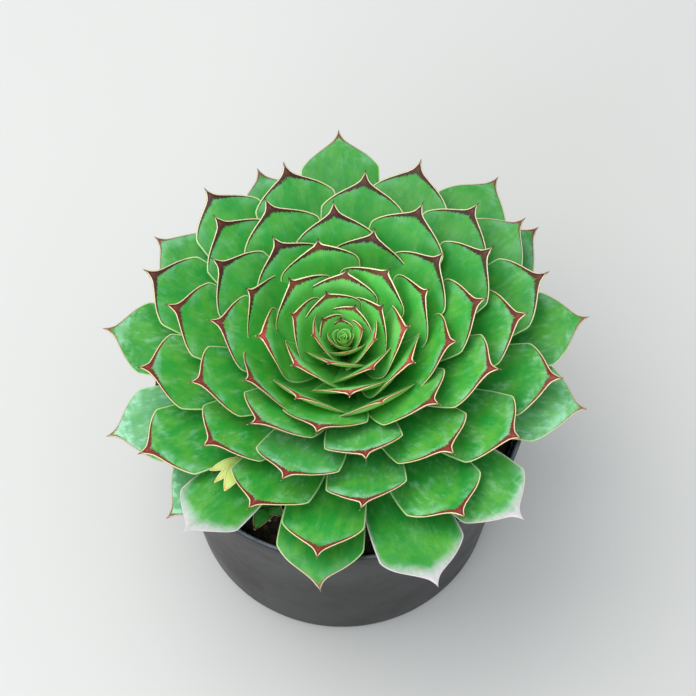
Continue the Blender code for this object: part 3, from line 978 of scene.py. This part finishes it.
    def margin_distance(self, flat: np.ndarray) -> np.ndarray:
        """Measures how far places on the flat leaf are from its outline.

        Args:
            flat: Rows of (across, along), in mm.

        Returns:
            The distances in mm.
        """
        rim = np.stack((self.half_width_at(self.shares), self.run), axis=1)
        start, way = rim[:-1], np.diff(rim, axis=0)
        at = np.stack((np.abs(flat[:, 0]), flat[:, 1]), axis=1)[:, None, :] - start[None]
        along = np.clip((at * way).sum(2) / np.maximum((way * way).sum(1), 1e-9), 0.0, 1.0)
        return np.linalg.norm(at - along[..., None] * way, axis=2).min(axis=1)


@dataclass(frozen=True)
class Habit:
    """A leaf's colouring: how dark its tip is, which also deepens its green and thins its bloom as
    painted shade, how waxy, how papery and how aged it looks.
    """

    dusk: float
    wax: float
    paper: float
    age: float


@dataclass
class LeafSheet:
    """A closed flat pillow that is shaped into each leaf, finest near its margins and tip."""

    rows: int = 56
    columns: int = 32
    crowding: float = 1.45

    JOINED = 1e-6

    def __post_init__(self) -> None:
        """Builds the flat pillow and reads its places."""
        bm = bmesh.new()
        bmesh.ops.create_grid(bm, x_segments=self.columns, y_segments=self.rows, size=1.0)
        upper = set(bm.verts)
        copy = bmesh.ops.duplicate(bm, geom=bm.verts[:] + bm.edges[:] + bm.faces[:])["geom"]
        bmesh.ops.reverse_faces(bm, faces=[g for g in copy if isinstance(g, bmesh.types.BMFace)])
        for vert in bm.verts:
            vert.co.z = 0.0 if vert.is_boundary else 1.0 if vert in upper else -1.0
            if vert.co.y > 1.0 - self.JOINED:
                vert.co.x = 0.0
        bmesh.ops.remove_doubles(bm, verts=bm.verts, dist=self.JOINED)
        self.mesh = mesh_from(bm, "leaf_sheet")
        places = np.empty(len(self.mesh.vertices) * 3, np.float32)
        self.mesh.vertices.foreach_get("co", places)
        places = places.reshape(-1, 3).astype(float)
        self.u = -np.sin(math.pi / 2 * places[:, 0])
        self.s = 1 - (1 - (places[:, 1] + 1) / 2) ** self.crowding
        self.side = places[:, 2]
        self.upper = np.clip(self.side * 0.5 + 0.5, 0.0, 1.0)

    def shaped(
        self, points: np.ndarray, place: Matrix, rim: tuple, grain: tuple, habit: Habit
    ) -> bpy.types.Mesh:
        """Shapes a copy of the sheet into a leaf.

        Args:
            points: The leaf's skin in its own frame, in mm.
            place: The matrix from that frame to the part's, in mm.
            rim: Each point's distance from the margin and from the tip, in mm.
            grain: Each point's place on the flat leaf, in mm, and a number of the leaf's own.
            habit: The leaf's own colouring.

        Returns:
            The leaf's mesh in metres, with the attributes that its finish reads.
        """
        mesh = self.mesh.copy()
        points = points @ np.array(place.to_3x3()).T + np.array(place.translation)
        mesh.vertices.foreach_set("co", (points * MM).astype(np.float32).ravel())
        write(mesh, "leaf_place", np.stack((*rim, self.upper), axis=1))
        write(mesh, "leaf_grain", np.stack(grain, axis=1))
        write(mesh, "leaf_habit", np.tile((habit.dusk, habit.wax, habit.paper), (len(points), 1)))
        write(mesh, "leaf_age", np.full(len(points), habit.age))
        mesh.update()
        return mesh

    def leaf(self, form: LeafForm, place: Matrix, habit: Habit) -> bpy.types.Mesh:
        """Shapes a leaf of the rosette.

        Args:
            form: The leaf's shape.
            place: The matrix from the rosette's frame to the part's, in mm.
            habit: The leaf's own colouring.

        Returns:
            The leaf's mesh, as from shaped.
        """
        flat = form.flat(self.s, self.u)
        rim = (form.margin_distance(flat), form.run[-1] - flat[:, 1])
        grain = (flat[:, 0], flat[:, 1], form.seed * 7.3 + self.upper * 3.1)
        return self.shaped(form.points(self.s, self.u, self.side), place, rim, grain, habit)


@dataclass
class Rosette:
    """The leaves along the spiral, from the closed bud to the oldest."""

    origin: Vector = Vector((1.1, 0.0, 83.0))
    lean: float = -3.3
    first_azimuth: float = -182.0
    divergence: float = 137.642
    oldest: int = 84
    youngest_outer: int = 28
    first_old: int = 67
    youngest_bud: int = -8
    stem_thin: float = 1.0
    stem_thick: float = 8.0
    stem_low: float = -15.3
    stem_high: float = 9.8
    stem_taper: float = 0.6
    sunk: float = 1.3
    bud_radius: float = 0.15
    bud_narrowing: float = 0.1
    bud_rise: float = 0.15
    base_spread: float = 0.34
    aside_seen: float = 0.9
    dusk_start: float = -0.15
    dusk_width: float = 0.6
    back_wax_shade: float = 0.6

    TIP_RADIUS = Track((
        (-8, 0.35), (1, 3.3), (8, 9.2), (20, 21.2), (35, 35.1), (55, 53.5), (70, 64.2), (84, 66.7),
    ))
    TIP_HEIGHT = Track((
        (-8, 15.4), (1, 17.0), (8, 20.8), (20, 22.9), (35, 24.1), (55, 16.1), (70, 6.1), (84, 0.5),
    ))
    FULL_WIDTH = Track(((-8, 0.9), (1, 6.2), (3, 9.4), (8, 15.8), (14, 20.3), (20, 21.4), (36, 22.4)))
    # The other sizes of a leaf by the names of its form's fields.
    SIZES = {
        "slope": Track((
            (-8, 89.0), (3, 89.0), (8, 92.6), (14, 91.7), (20, 91.0), (27, 79.0), (32, 57.0),
            (45, 48.0), (58, 38.0), (70, 15.0), (84, 5.0),
        )),
        "knee": Track(((1, 1.0), (20, 1.0), (27, 1.13), (34, 0.95), (56, 0.75), (84, 0.75))),
        "flesh": Track(((-8, 0.25), (1, 0.4), (10, 0.9), (28, 2.0), (45, 2.5), (84, 2.6))),
        "shoulder": Track((
            (3, 0.26), (8, 0.29), (14, 0.33), (20, 0.32), (27, 0.36), (45, 0.36), (66, 0.42), (84, 0.5),
        )),
        "recurve": Track((
            (1, 0.5), (3, 1.1), (8, 1.9), (14, 2.9), (20, 3.7), (27, 1.9), (36, 1.5), (45, 1.2),
            (60, 0.8), (70, 0.0),
        )),
        "flatness": Track(((-8, 0.0), (1, 0.2), (3, 0.35), (8, 0.68), (27, 0.69), (30, 0.6))),
        "side_curve": Track(((3, 1.65), (8, 2.0), (20, 2.1), (27, 1.7), (34, 1.3))),
        "upright": Track(((3, 0.39), (8, 0.38), (14, 0.35), (20, 0.32), (27, 0.32), (32, 0.28))),
        "spine": Track(((1, 0.5), (10, 1.1), (20, 1.5), (27, 2.2), (34, 3.0))),
        "hollow": Track(((1, 0.2), (20, 0.4), (34, 0.9))),
        "ripple": Track(((1, 0.02), (28, 0.08), (60, 0.16), (84, 0.3))),
    }
    # Heart leaves that stand askew: turn in degrees, reach and lift of the tip and offset of the
    # blade in mm.
    ASKEW = {
        2: (1.0, 1.0, -0.5, 1.0), 4: (-0.5, 0.5, -0.5, 0.0), 5: (-0.5, 0.0, 0.5, 1.5),
        6: (-1.5, 0.0, -0.5, 0.0), 7: (0.0, -0.5, -0.5, 0.5), 8: (0.0, -1.0, 0.5, -0.5),
        9: (-0.5, 0.0, 0.0, -1.0), 10: (-2.5, -0.5, 1.0, 0.5), 11: (0.5, -0.5, -0.5, 0.5),
        12: (0.0, -0.5, -1.0, -1.0), 13: (-1.5, -0.5, 1.0, 1.0), 14: (-1.0, 0.0, -1.5, -0.5),
        15: (0.5, 0.0, 0.0, 2.5), 16: (1.5, 0.0, -0.5, 1.5), 17: (0.5, -0.5, -1.5, -1.5),
        18: (-0.5, 0.0, 0.5, 1.0), 19: (2.5, 1.0, -0.5, 1.0), 20: (-1.0, -1.0, 0.0, 2.0),
        22: (1.0, -0.5, 0.0, -0.5), 23: (-0.5, 1.5, 0.5, 1.5), 24: (0.0, -0.5, -0.5, 1.0),
        25: (1.5, -1.5, 0.5, 0.5), 27: (-0.5, -1.5, 0.5, 0.0),
    }
    WAX = Track(((1, 0.2), (28, 0.48), (55, 0.6), (66, 0.65), (84, 0.9)))
    # Leaves that are more or less waxy than others of their age, and those with dry papery tips.
    WAXY = {
        40: 0.7, 45: 0.74, 53: 0.68, 58: 0.5, 66: 0.25, 68: 0.9, 71: 0.45,
        73: 0.95, 74: 0.3, 76: 1.0, 78: 0.95, 79: 0.15, 84: 1.0,
    }
    PAPERY = {69: 0.5, 71: 0.8, 74: 0.9}

    def place(self) -> Matrix:
        """The matrix from the rosette's frame to the part's, in mm."""
        return Matrix.Translation(self.origin) @ Matrix.Rotation(math.radians(self.lean), 4, "Y")

    def core_radius(self, age: float) -> float:
        """The stem's radius where leaves of an age from 0 to 1 stand on it."""
        return self.stem_thin + (self.stem_thick - self.stem_thin) * age**self.stem_taper

    def foot(self, number: int) -> np.ndarray:
        """Places the middle of a leaf's base on the stem, or on the bud inside the youngest leaves.

        Args:
            number: The leaf's number.

        Returns:
            Its (radius, height).
        """
        age = max(number, 0) / self.oldest
        radius = self.core_radius(age)
        height = self.stem_low + (self.stem_high - self.stem_low) * (1 - age)
        if number <= 0:
            radius = max(self.bud_radius, radius + self.bud_narrowing * number)
            height -= self.bud_rise * number
        return np.array((radius, height))

    def read_node(self, name: str) -> tuple[float, np.ndarray, float, float]:
        """Reads a leaf's place from its CAD node.

        Args:
            name: The node.

        Returns:
            Its azimuth in radians, its tip as (radius, height), its half width and how far its
            blade lies to one side of its tip.
        """
        corners = np.array([v.co[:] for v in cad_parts[name].data.vertices]) / MM
        back = np.array(self.place().inverted())
        corners = corners @ back[:3, :3].T + back[:3, 3]
        radii = np.hypot(corners[:, 0], corners[:, 1])
        last = radii.argmax()
        azimuth = math.atan2(corners[last, 1], corners[last, 0])
        sideways = corners[:, 1] * math.cos(azimuth) - corners[:, 0] * math.sin(azimuth)
        left, right = float(sideways.min()), float(sideways.max())
        tip = np.array((radii[last], corners[last, 2]))
        return azimuth, tip, (right - left) / 2, (left + right) / 2 / self.aside_seen

    def form(self, number: int) -> LeafForm:
        """Works out the shape of one leaf. The outer ones are placed as their nodes are.

        Args:
            number: The leaf's number.

        Returns:
            Its form.
        """
        foot = self.foot(number)
        spread = self.base_spread * foot[0]
        if number >= self.youngest_outer:
            azimuth, tip, half_width, aside = self.read_node(f"leaf_{number}")
        else:
            turn, reach, lift, aside = self.ASKEW.get(number, (0.0, 0.0, 0.0, 0.0))
            azimuth = math.radians(self.first_azimuth + self.divergence * number + turn)
            tip = np.array((self.TIP_RADIUS.at(number) + reach, self.TIP_HEIGHT.at(number) + lift))
            half_width = self.FULL_WIDTH.at(number) / 2
            if number > 0:
                foot = foot - (self.sunk, 0.0)
        sizes = {name: track.at(number) for name, track in self.SIZES.items()}
        return LeafForm(azimuth, foot, tip, half_width, spread, aside, float(number), **sizes)

    def habit(self, number: int, azimuth: float, age: float) -> Habit:
        """A leaf's colouring. Those behind are tipped near black, and those in front crimson. Those
        behind also get a deeper green and less bloom, as painted shade.

        Args:
            number: The leaf's number.
            azimuth: Its azimuth in radians.
            age: Its age among its own kind, from 0 to 1.

        Returns:
            Its habit.
        """
        dusk = share((math.sin(azimuth) - self.dusk_start) / self.dusk_width)
        wax = self.WAXY.get(number, self.WAX.at(number))
        # Leaves behind lose some bloom, as painted shade.
        return Habit(dusk, wax * (1 - self.back_wax_shade * dusk), self.PAPERY.get(number, 0.0), age)

    def build(self) -> None:
        """Builds every leaf as its own piece."""
        fine, small = LeafSheet(), LeafSheet(rows=40, columns=24)
        for number in range(self.youngest_bud, self.oldest + 1):
            if number < self.youngest_outer:
                finish, slot, sheet = HEART_FINISH, Slot.HEART_LEAF, small
                name, node = f"heart_leaf_{number - self.youngest_bud:02d}", "heart"
                first, last = 0, self.youngest_outer
            elif number < self.first_old:
                finish, slot, sheet = BLADE_FINISH, Slot.LEAF, fine
                name, node = f"green_leaf_{number}", f"leaf_{number}"
                first, last = self.youngest_outer, self.first_old
            else:
                finish, slot, sheet = OLD_FINISH, Slot.OLD_LEAF, fine
                name, node = f"old_leaf_{number}", f"leaf_{number}"
                first, last = self.first_old, self.oldest
            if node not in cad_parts:
                continue
            form = self.form(number)
            habit = self.habit(number, form.azimuth, max(number - first, 0) / (last - first))
            settle(new_piece(name, sheet.leaf(form, self.place(), habit), finish), slot, node)


# ---------------------------------------------------------------- offsets
@dataclass
class Offset:
    """A young plantlet: a knot of small pointed leaves."""

    name: str
    node: str
    root: Vector
    leaflets: tuple[tuple[tuple[float, float, float], float], ...]
    finish: LeafFinish
    slot: Slot
    place: Matrix
    core_radius: float = 1.15
    thickness: float = 0.9
    bow: float = 0.12
    cup: float = 0.18
    base_share: float = 0.12
    dusk: float = 0.3
    wax: float = 0.2

    SHEET_SIZE = (24, 12)
    FIRST_SEED = 50.0
    SEED_STEP = 3.7
    LAST_AGE = 5

    def skin(self, tip: Vector, width: float, sheet: LeafSheet) -> tuple[np.ndarray, np.ndarray, float]:
        """The skin of one leaflet.

        Args:
            tip: Its tip, in the offset's frame.
            width: Its full width.
            sheet: The flat pillow that it is shaped from.

        Returns:
            Its points in the offset's frame, its half width at each point and its length.
        """
        start = self.root - (tip - self.root).normalized() * self.core_radius / 3
        way = tip - start
        across = Vector((-way.y, way.x, 0.0)).normalized()
        above = way.cross(across).normalized()
        if above.z < 0:
            above = -above
        along = self.base_share + (1 - self.base_share) * sheet.s
        half = width / 2 * np.sin(math.pi * np.clip(along, 0, 1) ** 0.8).clip(0.0) ** 0.7
        swell = self.thickness / 2 * (1 - sheet.u**2) * np.sin(math.pi * (0.3 + 0.7 * sheet.s))
        cup = self.cup * half * sheet.u**2
        lift = self.bow * way.length * np.sin(math.pi * sheet.s) + sheet.side * swell + cup
        points = np.array(start) + np.outer(sheet.s, np.array(way))
        points += np.outer(sheet.u * half, np.array(across)) + np.outer(lift, np.array(above))
        return points, half, way.length

    def build(self) -> None:
        """Builds each leaflet as its own piece."""
        sheet = LeafSheet(*self.SHEET_SIZE)
        for index, (tip, width) in enumerate(self.leaflets):
            points, half, length = self.skin(Vector(tip), width, sheet)
            rim = (half * (1 - np.abs(sheet.u)), (1 - sheet.s) * length)
            seeds = np.full(len(points), self.FIRST_SEED + self.SEED_STEP * index)
            grain = (sheet.u * half, sheet.s * length, seeds)
            habit = Habit(self.dusk, self.wax, 0.0, index / self.LAST_AGE)
            mesh = sheet.shaped(points, self.place, rim, grain, habit)
            bm = bmesh.new()
            bm.from_mesh(mesh)
            bmesh.ops.recalc_face_normals(bm, faces=bm.faces)
            bm.to_mesh(mesh)
            bm.free()
            settle(new_piece(f"{self.name}_leaflet_{index}", mesh, self.finish), self.slot, self.node)


# ---------------------------------------------------------------- pot, mix and stem
@dataclass
class Pot:
    """The round nursery pot: rolled rim, tapered wall and a floor with drain holes."""

    height: float = 70.0
    rim_radius: float = 50.0
    rim_depth: float = 7.5
    rim_step: float = 1.7
    rim_taper: float = 0.9
    lip_rounding: float = 0.8
    edge_easing: float = 0.22
    wall: float = 1.2
    base_radius: float = 42.5
    base_chamfer: float = 1.4
    foot_width: float = 4.0
    floor_raise: float = 2.5
    floor_step: float = 1.0
    disc_radius: float = 15.0
    drain_holes: int = 8
    drain_radius: float = 3.6
    drain_ring: float = 29.0
    drain_steps: int = 32
    steps: int = 144
    ring_angle: float = 20.0
    sharp_angle: float = 45.0

    @property
    def rim_bottom(self) -> float:
        """Height of the rim's lower edge."""
        return self.height - self.rim_depth

    def wall_radius(self, height: float) -> float:
        """Outer radius of the tapered wall at a height."""
        widening = self.rim_radius - self.rim_step - self.base_radius
        return self.base_radius + widening * height / self.rim_bottom

    def profile(self) -> list[tuple[float, float]]:
        """Draws the pot's section.

        Returns:
            Its (radius, height) points, down the outer side and up the inside.
        """
        height, rim_bottom = self.height, self.rim_bottom
        base, chamfer = self.base_radius, self.base_chamfer
        rim_foot = self.rim_radius - self.rim_taper
        foot_inner = base - self.foot_width
        floor_top = self.floor_raise + self.wall
        lip, wall, step = self.lip_rounding, self.wall, self.floor_step
        return [
            (self.rim_radius - lip, height),
            (self.rim_radius - lip * 0.3, height - lip * 0.3),
            (self.rim_radius, height - lip),
            (rim_foot + 0.4, rim_bottom + 0.6),
            (rim_foot, rim_bottom),
            (self.wall_radius(rim_bottom), rim_bottom),
            (self.wall_radius(height * 0.6), height * 0.6),
            (self.wall_radius(height * 0.3), height * 0.3),
            (self.wall_radius(chamfer), chamfer),
            (base - chamfer / 3, chamfer / 4),
            (base - chamfer, 0.0),
            (foot_inner, 0.0),
            (foot_inner - step, self.floor_raise),
            (self.disc_radius + step, self.floor_raise),
            (self.disc_radius, 0.0),
            (0.0, 0.0),
            (0.0, wall),
            (self.disc_radius - step / 2, wall),
            (self.disc_radius + step / 2, floor_top),
            (self.wall_radius(floor_top) - wall - step, floor_top),
            (self.wall_radius(floor_top + step) - wall, floor_top + step),
            (self.wall_radius(height / 2) - wall, height / 2),
            (self.wall_radius(rim_bottom) - wall, rim_bottom),
            (rim_foot - wall, rim_bottom + 0.8),
            (self.rim_radius - wall - 0.1, height - lip),
        ]

    def build(self) -> None:
        """Builds the pot as one piece, its holes cut and its edges eased."""
        bm = turned(self.profile(), self.steps)
        bmesh.ops.bevel(
            bm,
            geom=[edge for edge in bm.edges if self.is_ring(edge)],
            offset=self.edge_easing,
            offset_type="OFFSET",
            segments=2,
            profile=0.5,
            affect="EDGES",
            material=-1,
            clamp_overlap=True,
        )
        # The finish paints highlight lines at the rim's top and lower edge.
        finish = PotFinish(edges=(self.height * MM, self.rim_bottom * MM))
        pot = new_piece("pot_shell", mesh_from(bm, "pot_shell", IN_METRES), finish)
        holes = self.drill()
        cut = pot.modifiers.new("drain_holes", "BOOLEAN")
        cut.operation, cut.solver, cut.object = "DIFFERENCE", "EXACT", holes
        graph = bpy.context.evaluated_depsgraph_get()
        finished = bpy.data.meshes.new_from_object(pot.evaluated_get(graph))
        pot.modifiers.clear()
        pot.data = finished
        bpy.data.objects.remove(holes)
        finished.set_sharp_from_angle(angle=math.radians(self.sharp_angle))
        settle(pot, Slot.POT_PLASTIC, "pot")

    def is_ring(self, edge: bmesh.types.BMEdge) -> bool:
        """Whether an edge runs round the pot at a corner of its section."""
        level = abs(edge.verts[0].co.z - edge.verts[1].co.z) < TOUCHING
        return level and edge.is_manifold and edge.calc_face_angle(0.0) > math.radians(self.ring_angle)

    def drill(self) -> bpy.types.Object:
        """Makes the drain holes' cutter.

        Returns:
            One object of all the holes' cylinders.
        """
        bm = bmesh.new()
        for index in range(self.drain_holes):
            angle = math.tau * (index + 0.5) / self.drain_holes
            at = Vector((math.cos(angle), math.sin(angle), 0.0)) * self.drain_ring
            at.z = self.floor_raise
            bmesh.ops.create_cone(
                bm,
                cap_ends=True,
                segments=self.drain_steps,
                radius1=self.drain_radius * MM,
                radius2=self.drain_radius * MM,
                depth=4 * self.wall * MM,
                matrix=Matrix.Translation(at * MM),
            )
        holes = bpy.data.objects.new("drain_cutter", mesh_from(bm, "drain_cutter"))
        bpy.context.scene.collection.objects.link(holes)
        return holes


@dataclass
class GrowingMix:
    """The moist mix in the pot, mounded round the stem, with loose crumbs on top."""

    pot: Pot
    rosette: Rosette
    depth_below_rim: float = 6.5
    mound: float = 1.8
    mound_flat: float = 16.0
    mound_foot: float = 44.0
    clearance: float = 0.3
    top_margin: float = 0.4
    bottom_corner: tuple[float, float] = (2.0, 2.5)
    socket_radius: float = 8.4
    socket_depth: float = 33.3
    rough_above: float = 55.0
    clod_height: float = 0.5
    clod_scale: float = 0.16
    seed: int = 7
    crumbs: int = 1700
    crumb_size: tuple[float, float] = (0.35, 1.0)
    peat_scale: float = 1.3
    perlite_scale: float = 1.1
    perlite_share: float = 0.05
    crumb_tilt: float = 0.5
    crumb_jitter: float = 0.18
    crumb_lift: float = 0.25
    rings: int = 34
    steps: int = 120

    def top(self, radius: float) -> float:
        """Height of the mix's even surface.

        Args:
            radius: The distance from the pot's axis.

        Returns:
            The height in mm.
        """
        level = self.pot.height - self.depth_below_rim
        fall = share((radius - self.mound_flat) / (self.mound_foot - self.mound_flat))
        return level + self.mound * (1 - fall)

    def roughness(self, x: float, y: float) -> float:
        """The clods' height at a place, from about -0.6 to 0.6 mm."""
        at = Vector((x * self.clod_scale, y * self.clod_scale, 4.0))
        return self.clod_height * noise.fractal(at, 0.8, 2.1, 4)

    def build(self) -> None:
        """Builds the body of the mix and its crumbs."""
        pot, origin, start = self.pot, self.rosette.origin, self.socket_radius
        bottom = pot.floor_raise + pot.wall + self.clearance
        clear = pot.wall + self.clearance
        outer = pot.wall_radius(pot.rim_bottom) - clear - self.top_margin
        socket_floor = origin.z - self.socket_depth
        inset, rise = self.bottom_corner
        radii = [start + (outer - start) * i / self.rings for i in range(self.rings + 1)]
        profile = [(0.0, socket_floor), (start, socket_floor)]
        profile += [(radius, self.top(radius)) for radius in radii]
        profile.append((pot.wall_radius(bottom + rise) - clear, bottom + rise))
        profile += [(pot.wall_radius(bottom) - clear - inset, bottom), (0.0, bottom)]
        bm = turned(profile, self.steps)
        lean = math.tan(math.radians(self.rosette.lean))
        for vert in bm.verts:
            radius = vert.co.xy.length
            if vert.co.z > self.rough_above and radius > start - 0.1:
                vert.co.z += self.roughness(vert.co.x, vert.co.y)
            if radius < start + 0.1 and vert.co.z > bottom + 1.0:
                vert.co.x += origin.x + lean * (vert.co.z - origin.z)
        body = new_piece("mix_body", mesh_from(bm, "mix_body", IN_METRES), EarthFinish())
        crumbs = new_piece("mix_crumbs", self.scatter(outer), CrumbFinish())
        for piece in (body, crumbs):
            settle(piece, Slot.GROWING_MIX, "growing_mix")

    def scatter(self, outer: float) -> bpy.types.Mesh:
        """Scatters crumbs over the top.

        Args:
            outer: The radius that they keep inside.

        Returns:
            One mesh of all the crumbs, with each one's tint as an attribute.
        """
        random = np.random.default_rng(self.seed)
        bm = bmesh.new()
        tints = []
        for _ in range(self.crumbs):
            radius = math.sqrt(random.uniform(self.socket_radius**2 * 1.2, (outer - 0.6) ** 2))
            angle = random.uniform(0.0, math.tau)
            x, y = radius * math.cos(angle), radius * math.sin(angle)
            tint = random.uniform(0.0, 0.85) if random.uniform() > self.perlite_share else 1.0
            scale = self.perlite_scale if tint > 0.9 else self.peat_scale
            size = random.uniform(*self.crumb_size) ** 1.5 * scale
            shape = Vector((size, size * random.uniform(0.5, 1.0), size * random.uniform(0.35, 0.8)))
            tilts = [random.uniform(-self.crumb_tilt, self.crumb_tilt) for _ in range(2)]
            turn = Euler([*tilts, random.uniform(0, 6.28)])
            at = Vector((x, y, self.top(radius) + self.roughness(x, y) + self.crumb_lift * size))
            matrix = Matrix.LocRotScale(at, turn, shape)
            made = bmesh.ops.create_icosphere(bm, subdivisions=1, radius=1.0, matrix=matrix)["verts"]
            for vert in made:
                vert.co += Vector(random.uniform(-self.crumb_jitter, self.crumb_jitter, 3)) * size
            tints += [tint] * len(made)
        mesh = mesh_from(bm, "mix_crumbs", IN_METRES)
        write(mesh, "crumb_tint", np.array(tints))
        return mesh


@dataclass
class Stem:
    """The short woody stem, ridged where old leaves have dropped."""

    rosette: Rosette
    top: float = -0.2
    foot: float = -33.0
    tip_length: float = 6.0
    tip_taper: float = 3.0
    clearance: float = 0.5
    bark_depth: float = 0.12
    grain_depth: float = 0.1
    rings: int = 60
    steps: int = 64

    def radius(self, height: float) -> float:
        """The stem's radius.

        Args:
            height: The height in the rosette's frame.

        Returns:
            The radius in mm.
        """
        rosette = self.rosette
        age = share((rosette.stem_high - height) / (rosette.stem_high - rosette.stem_low))
        low = max(0.0, (self.foot + self.tip_length - height) / self.tip_length)
        return rosette.core_radius(age) - self.clearance - self.tip_taper * low**1.5

    def build(self) -> None:
        """Builds the stem as one piece."""
        heights = [self.foot + (self.top - self.foot) * i / self.rings for i in range(self.rings + 1)]
        profile = [(0.0, self.foot)] + [(self.radius(z), z) for z in heights] + [(0.0, self.top)]
        bm = turned(profile, self.steps)
        for vert in bm.verts:
            x, y, z = vert.co
            radius = vert.co.xy.length
            if radius < 1.0:
                continue
            # Two crossing sets of spiral ridges, as the old leaves stood.
            angle = math.atan2(y, x)
            scar = math.sin(8 * angle + 2.2 * z) * math.sin(5 * angle - 1.6 * z)
            grain = noise.noise(Vector((x * 0.8, y * 0.8, z * 1.4)))
            vert.co.xy *= 1 - (self.bark_depth * (1 + scar) + self.grain_depth * grain) / radius
        mesh = mesh_from(bm, "stem_bark", IN_METRES @ self.rosette.place())
        settle(new_piece("stem_bark", mesh, StemFinish()), Slot.STEM, "stem")


# ---------------------------------------------------------------- studio
@dataclass
class Studio:
    """The pale floor, the soft light and the camera."""

    rosette: Rosette
    elevation: float = 62.84
    distance: float = 582.0
    view_width: float = 182.35
    look_aside: float = 0.5
    look_above: float = 4.11
    sensor: float = 36.0
    floor_side: float = 3000.0
    sky_strength: float = 0.74

    SKY = (0.93, 0.97, 1.0, 1.0)
    # Each square lamp's name, place and side in metres, power in watts and linear colour.
    LAMPS = (
        ("key", (-0.3, 0.05, 0.8), 0.7, 4.6, (1.0, 0.98, 0.94)),
        ("fill", (-0.4, -0.65, 0.5), 0.6, 2.4, (0.92, 0.97, 1.0)),
    )

    def build(self) -> None:
        """Builds the studio."""
        self.floor()
        self.lights()
        self.camera()

    def floor(self) -> None:
        """Lays the floor under the pot."""
        bm = bmesh.new()
        bmesh.ops.create_grid(bm, x_segments=1, y_segments=1, size=self.floor_side / 2 * MM)
        new_piece("studio_floor", mesh_from(bm, "studio_floor"), FloorFinish())

    def lights(self) -> None:
        """Sets the sky and hangs the soft lamps, which face the plant."""
        world = bpy.data.worlds.new("studio")
        world.use_nodes = True
        sky = world.node_tree.nodes["Background"].inputs
        sky["Color"].default_value = self.SKY
        sky["Strength"].default_value = self.sky_strength
        bpy.context.scene.world = world
        for name, at, side, power, colour in self.LAMPS:
            light = bpy.data.lights.new(name, "AREA")
            light.size, light.energy, light.color = side, power, colour
            lamp = bpy.data.objects.new(name, light)
            lamp.location = at
            way = self.rosette.origin * MM - lamp.location
            lamp.rotation_euler = way.to_track_quat("-Z", "Y").to_euler()
            bpy.context.scene.collection.objects.link(lamp)

    def camera(self) -> None:
        """Sets the camera up, looking down at the rosette from the front."""
        tilt = math.radians(self.elevation)
        up = Vector((0.0, math.sin(tilt), math.cos(tilt)))
        away = Vector((0.0, -math.cos(tilt), math.sin(tilt)))
        place = self.rosette.origin + away * self.distance
        target = self.rosette.origin + Vector((self.look_aside, 0.0, 0.0)) + up * self.look_above
        back = (place - target).normalized()
        across = up.cross(back).normalized()
        turn = Matrix((across, back.cross(across), back)).transposed()
        lens = bpy.data.cameras.new("camera")
        lens.sensor_width = self.sensor
        lens.lens = self.sensor * self.distance / self.view_width
        camera = bpy.data.objects.new("camera", lens)
        camera.matrix_world = Matrix.Translation(place * MM) @ turn.to_4x4()
        bpy.context.scene.collection.objects.link(camera)
        bpy.context.scene.camera = camera


def corners(box: tuple[Vector, Vector]) -> list[list[float]]:
    """A box's two corners as plain lists."""
    return [list(box[0]), list(box[1])]


def main() -> None:
    """Builds the whole scene."""
    logging.basicConfig(level=logging.INFO, format="%(message)s", stream=sys.stdout)
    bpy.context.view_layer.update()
    bpy.context.scene.view_settings.view_transform = "Standard"
    rosette, pot = Rosette(), Pot()
    pot.build()
    GrowingMix(pot, rosette).build()
    Stem(rosette).build()
    Offset(
        name="green_offset",
        node="offset_green",
        root=Vector((-19.0, -34.0, 65.4)),
        leaflets=(
            ((-22.5, -43.0, 73.0), 5.6),
            ((-21.5, -38.0, 75.0), 4.8),
            ((-15.0, -39.0, 72.0), 4.4),
            ((-25.5, -33.5, 71.0), 4.4),
            ((-16.5, -31.0, 71.5), 4.0),
        ),
        finish=OFFSET_FINISH,
        slot=Slot.OFFSET_LEAF,
        place=Matrix.Identity(4),
    ).build()
    Offset(
        name="pale_offset",
        node="offset_pale",
        root=Vector((-25.8, -29.6, 3.8)),
        leaflets=(
            ((-34.4, -32.2, 5.3), 3.4),
            ((-30.4, -38.4, 6.2), 5.0),
            ((-33.2, -35.6, 5.3), 3.0),
        ),
        finish=PALE_FINISH,
        slot=Slot.PALE_LEAF,
        place=rosette.place(),
    ).build()
    rosette.build()
    Studio(rosette).build()


if __name__ == "__main__":
    main()
